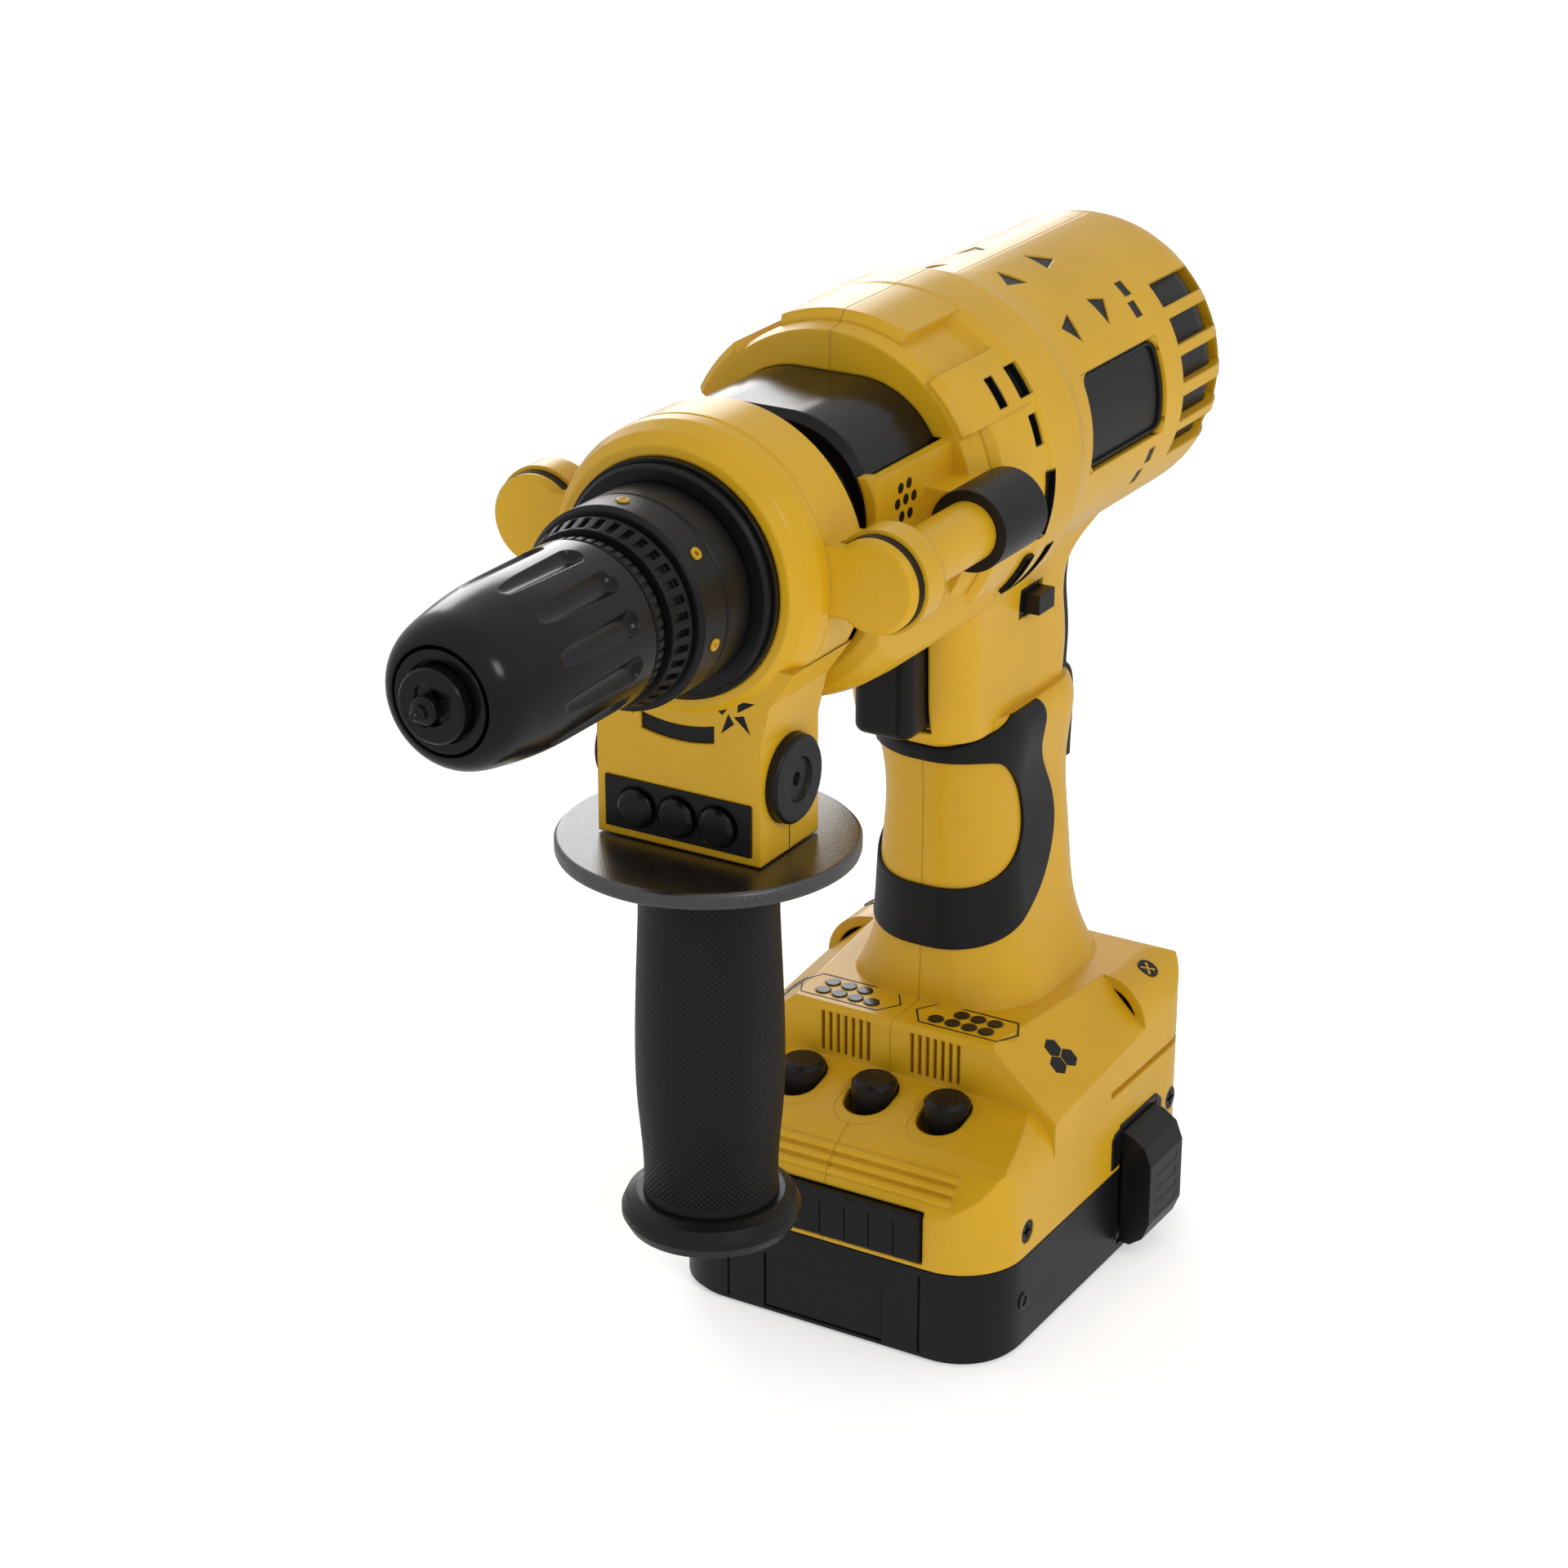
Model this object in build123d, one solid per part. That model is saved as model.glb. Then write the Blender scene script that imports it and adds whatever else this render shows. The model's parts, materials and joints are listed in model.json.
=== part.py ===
from build123d import *
import os
from math import pi, sin, cos, radians

# Toy power drill with a front handle and a plug-in battery pack.
# Frame: millimetres, +Z up, the chuck points along -Y, +X is the side with the honeycomb holes
# seen from the front right.  Origin: centre of the battery's flat underside.

os.makedirs("parts", exist_ok=True)

# ---------------------------------------------------------------- driving dimensions
AXIS_Z = 190.65          # height of the chuck and gear axis
SHELL_Z = AXIS_Z + 1.0   # axis of the moulded motor barrel, a little above the gear axis
WALL = 2.4               # housing wall
FIT = 0.05               # running fit, radial
GAP = 0.3                # clearance between bodies that move apart

BASE_X, BASE_Y, BASE_R = 81.4, 100.8, 14.7   # plan of the battery and of the base cover
SEAM_Z = 22.4            # joint between battery and base cover
DECK_Z = 62.5            # upper deck of the base cover
STEP_Y = -21.6           # upright louvre wall between lower and upper deck

BARREL_R = 32.0          # motor barrel
MOUTH_Y = -50.0          # front mouth of the yellow housing
CHEEK_Y = -79.0          # front of the side cheeks and chin
CHEEK_X = 27.4           # half width of the cheeks
CHEEK_TOP = AXIS_Z + 15.5
DOME_Y, DOME_L = 62.5, 19.5   # start and length of the rounded rear end

CASE_HALF, CASE_R = 25.3, 18.5   # gear case section, a rounded square
CASE_FRONT, CASE_BACK = -77.0, -38.0
NECK_R = 23.4            # cylindrical neck that carries the front clamp

GRIP_Y = -95.24          # upright axis of the front handle
CLAMP_R = 29.2
CLAMP_Y1 = -85.0
BLOCK_Y = 21.5
FLANGE_TOP, FLANGE_T, FLANGE_R = 135.0, 2.2, 30.0
ROD_X, ROD_Z = 37.4, 192.7
ROD_R = 6.0

KNOB_PITCH, KNOB_Y, KNOB_R = 18.0, -28.3, 5.05
KNOB_TOP, KNOB_FLOOR = 52.0, 42.6
SCOOP_TILT = 42.0        # lean of the scoop in front of each knob, in degrees
TRIG_HALF, TRIG_FRONT = 7.0, -28.0

MODULE = 0.7             # gear module
T_PINION, T_WHEEL, T_SMALL, T_OUT = 10, 26, 12, 24
GEAR_DIST = MODULE * (T_PINION + T_WHEEL) / 2


# ---------------------------------------------------------------- small helpers
def save(name, *solids):
    shape = solids[0] if len(solids) == 1 else Compound(children=[s for s in solids])
    export_step(shape, f"parts/{name}.step")


def box(x0, x1, y0, y1, z0, z1):
    return Pos((x0 + x1) / 2, (y0 + y1) / 2, (z0 + z1) / 2) * Box(x1 - x0, y1 - y0, z1 - z0)


def cyl_x(r, x0, x1, y, z):
    return Pos((x0 + x1) / 2, y, z) * Rot(0, 90, 0) * Cylinder(r, x1 - x0)


def cyl_y(r, y0, y1, x=0.0, z=AXIS_Z):
    return Pos(x, (y0 + y1) / 2, z) * Rot(90, 0, 0) * Cylinder(r, y1 - y0)


def cyl_z(r, z0, z1, x=0.0, y=0.0):
    return Pos(x, y, (z0 + z1) / 2) * Cylinder(r, z1 - z0)


def ring_y(ro, ri, y0, y1, x=0.0, z=AXIS_Z):
    return cyl_y(ro, y0, y1, x, z) - cyl_y(ri, y0 - 1, y1 + 1, x, z)


def turned_y(points, x=0.0, z=AXIS_Z):
    """Solid of revolution about a line along Y; points are (radius, y)."""
    face = make_face(Polyline(*points, close=True))
    return Pos(x, 0, z) * revolve(face, Axis.Y)


def turned_z(points, x=0.0, y=0.0):
    """Solid of revolution about a vertical line; points are (radius, z)."""
    face = Plane.XZ * make_face(Polyline(*points, close=True))
    return Pos(x, y, 0) * revolve(face, Axis.Z)


def plan_prism(z0, z1, inset=0.0):
    """Rounded-rectangle prism with the plan of the battery and base."""
    shape = RectangleRounded(BASE_X - 2 * inset, BASE_Y - 2 * inset, BASE_R - inset)
    return Pos(0, 0, z0) * extrude(shape, z1 - z0)


def side_prism(points, x0, x1):
    """Prism along X; points are (y, z)."""
    face = Plane.YZ * make_face(Polyline(*points, close=True))
    return Pos(x0, 0, 0) * extrude(face, x1 - x0)


def front_prism(points, y0, y1):
    """Prism along Y; points are (x, z)."""
    face = Plane.XZ * make_face(Polyline(*points, close=True))
    return Pos(0, y1, 0) * extrude(face, y1 - y0)


def around_barrel(shape, angle, y=0.0, z=SHELL_Z):
    """Turn a shape, built with its outward direction along +X, about the barrel axis."""
    return Pos(0, y, z) * Rot(0, -angle, 0) * shape


def mirror_x(shape):
    return mirror(shape, Plane.YZ)


def rounded_section(z, half, front, rear, r):
    """Horizontal rounded-rectangle section of the handle at height z."""
    return Pos(0, (front + rear) / 2, z) * RectangleRounded(2 * half, rear - front, r)


def gear(teeth, y0, y1, x, z, phase, bore):
    """Spur gear along Y with tapered teeth, thin enough to leave backlash."""
    pitch = MODULE * teeth / 2
    tip, root = pitch + 0.85 * MODULE, pitch - 1.1 * MODULE
    half = 2 * pi / teeth / 4
    outline = []
    for i in range(teeth):
        mid = phase + 2 * pi * i / teeth
        for r, a in ((root, -1.25), (pitch, -0.82), (tip, -0.32), (tip, 0.32), (pitch, 0.82), (root, 1.25)):
            outline.append((r * cos(mid + a * half), r * sin(mid + a * half)))
    face = Plane.XZ * make_face(Polyline(*outline, close=True))
    body = Pos(x, y1, z) * extrude(face, y1 - y0)
    return body - cyl_y(bore, y0 - 1, y1 + 1, x, z) if bore else body


def cross_screw_x(r, x_tip, x_face, y, z, head_r):
    """Cross-recess screw along X with its head at x_face, which may be on either side."""
    side = 1 if x_face > x_tip else -1
    under = x_face - side * 1.6
    body = cyl_x(r, *sorted((x_tip, under)), y, z) + cyl_x(head_r, *sorted((under, x_face)), y, z)
    x0, x1 = sorted((x_face - side * 0.6, x_face + side))
    arm = head_r * 0.62
    body = body - box(x0, x1, y - arm, y + arm, z - 0.35, z + 0.35)
    return body - box(x0, x1, y - 0.35, y + 0.35, z - arm, z + arm)


# ---------------------------------------------------------------- yellow housing
def barrel_solid(inset):
    """Outer form of the motor barrel and front collar, or its inner form when inset."""
    r, end = BARREL_R - inset, DOME_Y + DOME_L - inset
    ring = [(31.6, MOUTH_Y), (32.3, -49.2), (33.2, -45.5), (33.2, -27.5), (34.9, -25.5), (35.7, -22.0),
            (35.7, -9.0), (34.6, -5.5), (32.6, -3.0), (BARREL_R, 4.0)]
    front = [(0, MOUTH_Y + inset)] + [(a - inset, max(y, MOUTH_Y + inset)) for a, y in ring[1:]]
    front += [(r, DOME_Y)]
    angles = [radians(k) for k in (22, 45, 68)]
    dome = [(r * cos(a), DOME_Y + (DOME_L - inset) * sin(a)) for a in angles]
    cap = Spline(front[-1], *dome, (0, end), tangents=[(0, 1), (-1, 0)])
    face = make_face(Polyline(*front) + cap + Line((0, end), front[0]))
    return Pos(0, 0, SHELL_Z) * revolve(face, Axis.Y)


# start and end angle in degrees, front y, outer radius of each raised block on the front collar
COLLAR_BLOCKS = ((66.0, 114.0, -45.0, 35.3), (27.0, 49.0, -49.0, 34.9), (-58.0, 27.0, -42.6, 35.1))


def collar_block(a0, a1, front, r):
    profile = ((28.0, front), (r - 1.6, front), (r, front + 1.6), (r + 0.2, -23.0), (28.0, -23.0))
    steps = [a0 + (a1 - a0) * k / 4 for k in range(5)]
    wedge = [(0, SHELL_Z)] + [(60 * cos(radians(a)), SHELL_Z + 60 * sin(radians(a))) for a in steps]
    return turned_y(profile, 0, SHELL_Z) & front_prism(wedge, -60, 0)


def chin_solid(inset):
    """Cheeks and chin that wrap the gear case below its shoulders."""
    front = CHEEK_Y + inset
    profile = [(0, front), (29.6 - inset, front), (32.5 - inset, front + 1.6), (34.6 - inset, front + 5),
               (35.7 - inset, front + 10), (36.1 - inset, front + 17), (36.1 - inset, -30), (0, -30)]
    half = CHEEK_X - inset
    return turned_y(profile) & box(-half, half, CHEEK_Y - 1, -28, AXIS_Z - 40, CHEEK_TOP)


# height, half width, front, rear, corner radius of each handle section
HANDLE_LOWER = ((58.0, 25.5, -9.2, 45.0, 17.5), (64.5, 22.0, -8.8, 44.6, 17.0),
                (71.0, 19.0, -8.5, 43.6, 16.2), (79.0, 17.3, -8.3, 42.4, 15.5),
                (90.0, 16.5, -8.2, 41.4, 15.0), (118.0, 16.5, -8.6, 40.4, 15.0),
                (130.0, 16.2, -10.5, 37.5, 14.0))
HANDLE_UPPER = ((127.6, 14.6, -18.0, 36.6, 10.0), (133.0, 14.8, -20.0, 35.4, 10.0),
                (148.0, 15.0, -21.0, 34.2, 10.0), (156.0, 15.4, -22.0, 35.0, 10.0),
                (163.0, 17.0, -25.0, 43.0, 10.0), (168.0, 19.0, -28.0, 48.0, 10.0))


def handle_solid(inset):
    lower = [rounded_section(z, a - inset, f + inset, r - inset, c - inset) for z, a, f, r, c in HANDLE_LOWER]
    upper = [rounded_section(z, a - inset, f + inset, r - inset, c - inset) for z, a, f, r, c in HANDLE_UPPER]
    return loft(lower) + loft(upper)


SIDE_ROUND = 10.0        # rounding of the base cover's long upper edges
RIDGES, RIDGE_R = ((-48.2, 38.4), (-46.5, 40.3), (-44.8, 42.2)), 1.0
# three points of the sloping facet at the upper deck's front corner
FACET = ((24.5, STEP_Y, DECK_Z), (27.5, 6.0, DECK_Z), (BASE_X / 2, -9.0, 49.5))


def facet_cutter(inset):
    """Block above the sloping corner facet on the +X side."""
    a, b, c = (Vector(*point) for point in FACET)
    normal = (b - a).cross(c - a).normalized()
    normal = normal if normal.Z > 0 else -normal
    plane = Plane(origin=a - normal * inset, x_dir=b - a, z_dir=normal)
    return plane * Pos(0, 0, 20) * Box(90, 90, 40)


def base_solid(inset):
    """Base cover: lower front deck, upright louvre wall and upper deck, rounded at the sides."""
    half_x, half_y = BASE_X / 2 - inset, BASE_Y / 2 - inset
    low, deck, wall = (SEAM_Z if inset == 0 else SEAM_Z - 1), DECK_Z - inset, STEP_Y + inset
    wedge = ((-half_y, low), (-half_y, 34.5), (-half_y + 1.2, 37.3), (-43.2 + inset, 44.2 - inset),
             (-40.2 + inset, 45.6 - inset), (STEP_Y, 50.3 - inset), (half_y, 50.3 - inset), (half_y, low))
    lower = side_prism(wedge, -half_x, half_x) & plan_prism(low, 60, inset)
    shoulders = Plane.XZ * Pos(0, 52 - 40 - inset) * RectangleRounded(2 * half_x, 80, 13.0 - inset)
    lower = lower & (Pos(0, 60, 0) * extrude(shoulders, 120))
    across = Plane.XZ * Pos(0, deck - 40) * RectangleRounded(2 * half_x, 80, SIDE_ROUND - inset)
    across = Pos(0, 60, 0) * extrude(across, 120)
    front = ((wall, low - 1), (wall, deck - 1.2), (wall + 3, deck + 1.8), (90, deck + 1.8), (90, low - 1))
    rear = Plane.YZ * Pos(0, deck + 0.02 - 40) * RectangleRounded(2 * half_y, 80, SIDE_ROUND - inset)
    rear = Pos(-60, 0, 0) * extrude(rear, 120)
    upper = plan_prism(low, deck + 1, inset) & across & side_prism(front, -60, 60) & rear
    cut = facet_cutter(inset)
    return lower + (upper - cut - mirror_x(cut))


def waist_groove():
    """Shallow groove round the back half of the base cover."""
    band = plan_prism(41.8, 43.4, -1) - plan_prism(41.0, 44.0, 1.3)
    return band & box(-60, 60, 6, 60, 40, 45)


REAR_VENTS = (39.5, 24.0, 9.0, -6.8, -21.5)          # middle angles in degrees
# angle, y, width in degrees, length
RING_SLOTS = ((35.3, -33.3, 11.5, 3.4), (35.6, -24.3, 12.0, 4.4), (18.5, -25.2, 11.0, 3.2),
              (-8.0, -22.4, 24.0, 3.4), (-38.0, -15.0, 24.0, 3.6), (-34.5, -24.0, 17.0, 3.4))
WINDOW_ANG, WINDOW_Y = (-11.5, 26.5), (3.5, 38.5)
# corners of each decorative triangle as angle, y
TRIANGLES = (((82, 23.6), (73, 28.3), (70, 22.3)), ((80, 9.7), (68, 11.5), (71, 5.4)),
             ((51, 22.2), (48, 27.9), (38, 23.6)), ((49, 11.9), (45, 6.4), (37, 10.5)))
SQUARES = ((48.0, 37.2), (38.8, 36.3), (-20.5, 35.6), (-29.5, 33.6))
POCKET = 0.7             # depth of the decorative pockets
SCREW_SPOTS = ((-17.0, 160.8),)             # y, z of the screw that joins the halves
SCREW_R, SCREW_HEAD_R = 1.25, 2.6
LOUVRES, LOUVRE_X, LOUVRE_PITCH, LOUVRE_W = 7, 5.0, 1.9, 0.9
LATCH_X, LATCH_FRONT = 24.0, -51.6
ROD_SEAT_R = 8.25
SLIDER_Y, SLIDER_Z = (5.4, 15.4), (149.6, 156.4)
CLIP_Y, CLIP_PIN_Z = (11.4, 28.6), 29.6
CLIP_PIN_X, CLIP_PIN_R = 39.2, 1.0
SIDE_SCREWS = ((-33.4, 28.0), (37.4, 28.3))           # y, z of the small screws in the base sides


def slot_cutter(angle, y, width_deg, length, r, depth):
    """Radial box cutter: width in degrees round the barrel, length along it."""
    width = 2 * r * sin(radians(width_deg / 2))
    return around_barrel(Pos(r, 0, 0) * Box(depth, length, width), angle, y)


def window_sector(r_out, r_in, grow):
    """Block of barrel wall behind one side window, on the +X side."""
    mid, span = sum(WINDOW_ANG) / 2, WINDOW_ANG[1] - WINDOW_ANG[0]
    y0, y1 = WINDOW_Y
    return (ring_y(r_out, r_in, y0 - grow, y1 + grow, z=SHELL_Z)
            & slot_cutter(mid, (y0 + y1) / 2, span + 2 * grow, y1 - y0 + 2 * grow, BARREL_R, 20))


def triangle_cutter(corners):
    """Pocket of three corners given as (angle, y) on the barrel."""
    pts = [Vector(BARREL_R * cos(radians(a)), y, SHELL_Z + BARREL_R * sin(radians(a))) for a, y in corners]
    centre = (pts[0] + pts[1] + pts[2]) * (1 / 3)
    out = Vector(centre.X, 0, centre.Z - SHELL_Z).normalized()
    face = make_face(Polyline(*[p - out * POCKET for p in pts], close=True))
    return extrude(face, 4.0, dir=out)


def decoration_cutters():
    cuts = [triangle_cutter(corners) for corners in TRIANGLES]
    return cuts + [slot_cutter(angle, y, 6.4, 3.0, BARREL_R + 2.0 - POCKET, 4.0) for angle, y in SQUARES]


def opening_cutters():
    """Everything that goes right through the housing wall on the +X side."""
    mouth = extrude(Plane.XZ * RectangleRounded(2 * CASE_HALF + 0.1, 2 * CASE_HALF + 0.1, CASE_R), 44)
    cuts = [Pos(0, -36, AXIS_Z) * mouth, window_sector(40, 25, 0)]
    for angle in REAR_VENTS:
        cuts.append(slot_cutter(angle, 58.5, 10.6, 23.0, BARREL_R, 14))
    for angle, y, width, length in RING_SLOTS:
        cuts.append(slot_cutter(angle, y, width, length, 34.0, 9))
    cuts.append(box(-1, TRIG_HALF + 0.5, -30, -6, 130.4, 157.2))
    for k in range(LOUVRES):
        x0 = LOUVRE_X + LOUVRE_PITCH * k
        cuts.append(box(x0, x0 + LOUVRE_W, STEP_Y - 1, STEP_Y + WALL + 1, 51.4, 61.0))
    cuts.append(box(-1, LATCH_X + 0.4, -60, -BASE_Y / 2 + 5.0, 23.4, 35.8))
    cuts.append(box(11.2, 24.0, *SLIDER_Y, *SLIDER_Z))
    cuts.append(box(37.3, 50.0, *CLIP_Y, SEAM_Z - 1, 33.0))
    for y, z in SIDE_SCREWS:
        cuts.append(cyl_x(SCREW_R, 30, 42, y, z))
        cuts.append(cyl_x(SCREW_HEAD_R + 0.1, 38.9, 42, y, z))
    cuts.append(cyl_y(ROD_SEAT_R, -62, -43.4, ROD_X, ROD_Z))
    cuts.append(cyl_y(CLIP_PIN_R + FIT, CLIP_Y[0] - 1.6, CLIP_Y[1] + 1.6, CLIP_PIN_X, CLIP_PIN_Z))
    return cuts


def build_housing():
    """The two shells.  They match, apart from the screw holes, so one is built and mirrored."""
    outer = barrel_solid(0) + chin_solid(0) + handle_solid(0) + base_solid(0)
    outer = outer + [collar_block(*block) for block in COLLAR_BLOCKS]
    outer = outer + [cyl_x(RIDGE_R, -30, 30, y, z) for y, z in RIDGES]
    outer = (outer + box(24.0, 33.5, -60, -44, ROD_Z - 7, ROD_Z + 7)) & box(0.02, 90, -150, 150, 0, 260)
    body = outer - barrel_solid(WALL) - chin_solid(WALL) - handle_solid(WALL) - base_solid(WALL)
    knob_x = (0, KNOB_PITCH)
    pocket = box(35.0, 40.7, CLIP_Y[0] - 2, CLIP_Y[1] + 2, SEAM_Z, 35.0)
    pocket = pocket + [cyl_x(3.4, 33.0, 40.7, y, z) for y, z in SIDE_SCREWS]
    pocket = pocket + [cyl_z(KNOB_R + 2.6, KNOB_FLOOR - 1.4, 50, x, KNOB_Y) for x in knob_x]
    pocket = pocket + [box(x - 7.6, x + 7.6, -42.5, KNOB_Y, KNOB_FLOOR - 1.4, 50) for x in knob_x]
    pocket = pocket + box(0, 26.4, -50.4, -BASE_Y / 2 + 7.0, SEAM_Z, 38.0)
    pocket = pocket + [cyl_x(3.2, 0, 14, y, z) for y, z in SCREW_SPOTS]
    body = body + (pocket & outer)
    for x in knob_x:
        body = body - cyl_z(KNOB_R + 1.0, KNOB_FLOOR, 60, x, KNOB_Y) - cyl_z(2.0 + FIT, 30, 60, x, KNOB_Y)
        scoop = Rot(SCOOP_TILT, 0, 0) * Pos(0, 0, 12) * Cylinder(KNOB_R + 1.0, 24)
        body = body - Pos(x, KNOB_Y, KNOB_FLOOR) * scoop
    body = body - opening_cutters() - decoration_cutters() - waist_groove() - deck_disc_stack()
    body = biggest(body)
    left, right = mirror_x(body), body
    for y, z in SCREW_SPOTS:
        left = left - cyl_x(SCREW_R, -11, 1, y, z)
        right = right - cyl_x(SCREW_R, -1, 30, y, z) - cyl_x(SCREW_HEAD_R + 0.1, 11.5, 30, y, z)
    return biggest(left), biggest(right)


DISC_PITCH, DISC_R, DISC_X, DISC_Y = 4.1, 1.7, 8.0, (-15.5, -11.2)


def deck_disc_stack():
    """Two mirrored groups of small discs in the upper deck: four in front, three behind."""
    spots = [(DISC_X + DISC_PITCH * k, DISC_Y[0]) for k in range(4)]
    spots += [(DISC_X + DISC_PITCH * k, DISC_Y[1]) for k in (1, 2, 3)]
    return [cyl_z(DISC_R, DECK_Z - 0.6, DECK_Z + 0.25, side * x, y) for side in (1, -1) for x, y in spots]


def biggest(shape):
    """The main solid of a boolean result, without stray crumbs."""
    return max(shape.solids(), key=lambda s: s.volume)


# ---------------------------------------------------------------- gear case and nose
NOSE_R = 12.0
NOSE_FRONT = -134.0
BORE = 6.0


def build_gear_case():
    """Black gear case with the round neck and the nose tube that carries the two collars."""
    section = Plane.XZ * RectangleRounded(2 * CASE_HALF, 2 * CASE_HALF, CASE_R)
    shell = Pos(0, CASE_BACK, AXIS_Z) * extrude(section, CASE_BACK - CASE_FRONT)
    shell = chamfer(shell.faces().sort_by(Axis.Y)[0].edges(), 1.6)
    neck = turned_y([(0, -76), (NECK_R, -76), (NECK_R, -108.6), (NOSE_R, -108.6), (NOSE_R, NOSE_FRONT),
                     (0, NOSE_FRONT)])
    inside = cyl_y(22.6, -73, CASE_BACK + 1)
    lighten = turned_y([(9.5, -74.5), (21.0, -74.5), (21.0, -106), (9.5, -106)])
    return shell + neck - inside - lighten - cyl_y(BORE, -140, -60) - cyl_y(AXLE_R, -80, -70, 0, AXLE_Z)


AXLE_Z = AXIS_Z - GEAR_DIST
SPINDLE_R = 4.0
AXLE_R, SHAFT_R = 1.5, 1.5


def build_nose_rings():
    save("washer_plate", turned_y([(NOSE_R, -108.6), (22.6, -108.6), (22.6, -109.8), (22.0, -110.4),
                                   (NOSE_R, -110.4)]))
    bore = NOSE_R + FIT
    mode = turned_y([(bore, -110.7), (18.6, -110.7), (19.6, -111.6), (19.6, -118.7), (19.2, -119.1),
                     (19.6, -119.5), (19.6, -126.8), (18.8, -127.6), (bore, -127.6)])
    eyelets = []
    for k in range(7):
        turn = Pos(0, 0, AXIS_Z) * Rot(0, 360 * k / 7, 0) * Pos(0, -123.2, 19.5)
        mode = mode - turn * Cylinder(1.25, 3.0)
        eyelets.append(turn * (Pos(0, 0, -0.45) * (Cylinder(1.2, 1.9) - Cylinder(0.55, 4.0))))
    save("mode_collar", mode)
    save("mode_markers", *eyelets)
    torque = turned_y([(bore, -127.9), (17.6, -127.9), (18.0, -128.6), (18.0, -129.6), (16.9, -133.3),
                       (bore, -133.3)])
    for k in range(36):
        rib = Pos(0, 0, AXIS_Z) * Rot(0, 10 * k, 0) * (Pos(0, -131.2, 18.0) * Box(1.5, 3.4, 2.4))
        torque = torque - rib
    save("torque_collar", torque)


# ---------------------------------------------------------------- chuck
SLEEVE_BACK, SLEEVE_FRONT = -137.2, -179.8
BODY_R = 12.65
FLUTE_TILT = -2.0
JAW_TILT, JAW_R, BIT_R = 14.0, 1.6, 1.6
JAW_NOSE_Y, JAW_NOSE_R = -184.4, 2.35


def jaw_place(k, shape):
    """Lay a shape built along +Z from the origin onto the inclined axis of jaw k."""
    return (Pos(0, 0, AXIS_Z) * Rot(0, 120 * k + 90, 0) * Pos(0, JAW_NOSE_Y, JAW_NOSE_R)
            * Rot(-90 + JAW_TILT, 0, 0) * shape)


def build_chuck():
    rear = turned_y([(SPINDLE_R, -134.3), (15.4, -134.3), (16.0, -134.8), (16.0, -136.4), (15.4, -136.9),
                     (SPINDLE_R, -136.9)])
    for k in range(48):
        rear = rear - Pos(0, 0, AXIS_Z) * Rot(0, 7.5 * k, 0) * (Pos(0, -135.6, 16.2) * Box(0.7, 4, 1.2))
    save("chuck_rear_ring", rear)
    body = turned_y([(SPINDLE_R, -136.9), (BODY_R, -136.9), (BODY_R, -173.8), (9.4, -176.8), (9.4, -180.8),
                     (7.4, -180.8), (7.4, -179.6), (6.9, -179.6), (6.9, -183.2), (6.4, -183.7), (3.5, -183.7),
                     (3.5, -182.2), (BIT_R, -182.2), (BIT_R, -171.0), (SPINDLE_R, -171.0)])
    for k in range(3):
        body = body - jaw_place(k, Pos(0, 0, 13.0) * Cylinder(JAW_R + 0.05, 32))
        jaw = jaw_place(k, Pos(0, 0, 9.0) * Cylinder(JAW_R, 17.5))
        jaw = jaw - cyl_y(BIT_R + 0.3, -200, -150) - cyl_y(SPINDLE_R + 0.35, -175, -140)
        jaw = jaw - box(-9, 9, -190, -183.4, AXIS_Z - 20, AXIS_Z + 20)
        save(f"chuck_jaw_{k + 1}", biggest(jaw))
    save("chuck_body", biggest(body))
    save("spindle", cyl_y(SPINDLE_R, -171.0, -48.6))
    save("driver_bit", turned_y([(0, -172.0), (BIT_R - 0.02, -172.0), (BIT_R - 0.02, -184.2), (2.6, -184.2),
                                 (2.6, -185.6), (1.5, -186.0), (1.5, -187.4), (0.9, -187.7), (0.9, -188.3),
                                 (0.5, -189.0), (0, -189.0)]))
    save("chuck_sleeve", build_sleeve())


def build_sleeve():
    """Bullet-shaped sleeve with long flutes that get shallower towards the front."""
    outer = [(16.0, SLEEVE_BACK), (16.3, -138.0), (16.3, -157.0)]
    dome = Spline(outer[-1], (15.9, -165.0), (14.7, -173.5), (12.8, -179.0), (10.2, SLEEVE_FRONT - 0.9),
                  tangents=[(0, -1), (-1, -0.15)])
    bore = BODY_R + FIT
    inner = [(10.2, SLEEVE_FRONT - 0.9), (9.8, -179.8), (9.8, -177.3), (bore, -174.3), (bore, SLEEVE_BACK),
             outer[0]]
    face = make_face(Polyline(*outer) + dome + Polyline(*inner))
    sleeve = Pos(0, 0, AXIS_Z) * revolve(face, Axis.Y)
    for k in range(12):
        flute = Rot(90 + FLUTE_TILT, 0, 0) * Cylinder(3.0, 19.5)
        ends = Rot(FLUTE_TILT, 0, 0) * (Pos(0, 9.75, 0) * Sphere(3.0) + Pos(0, -9.75, 0) * Sphere(3.0))
        sleeve = sleeve - Pos(0, 0, AXIS_Z) * Rot(0, 30 * k + 10, 0) * Pos(0, -154.5, 18.15) * (flute + ends)
    return biggest(sleeve)


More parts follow.
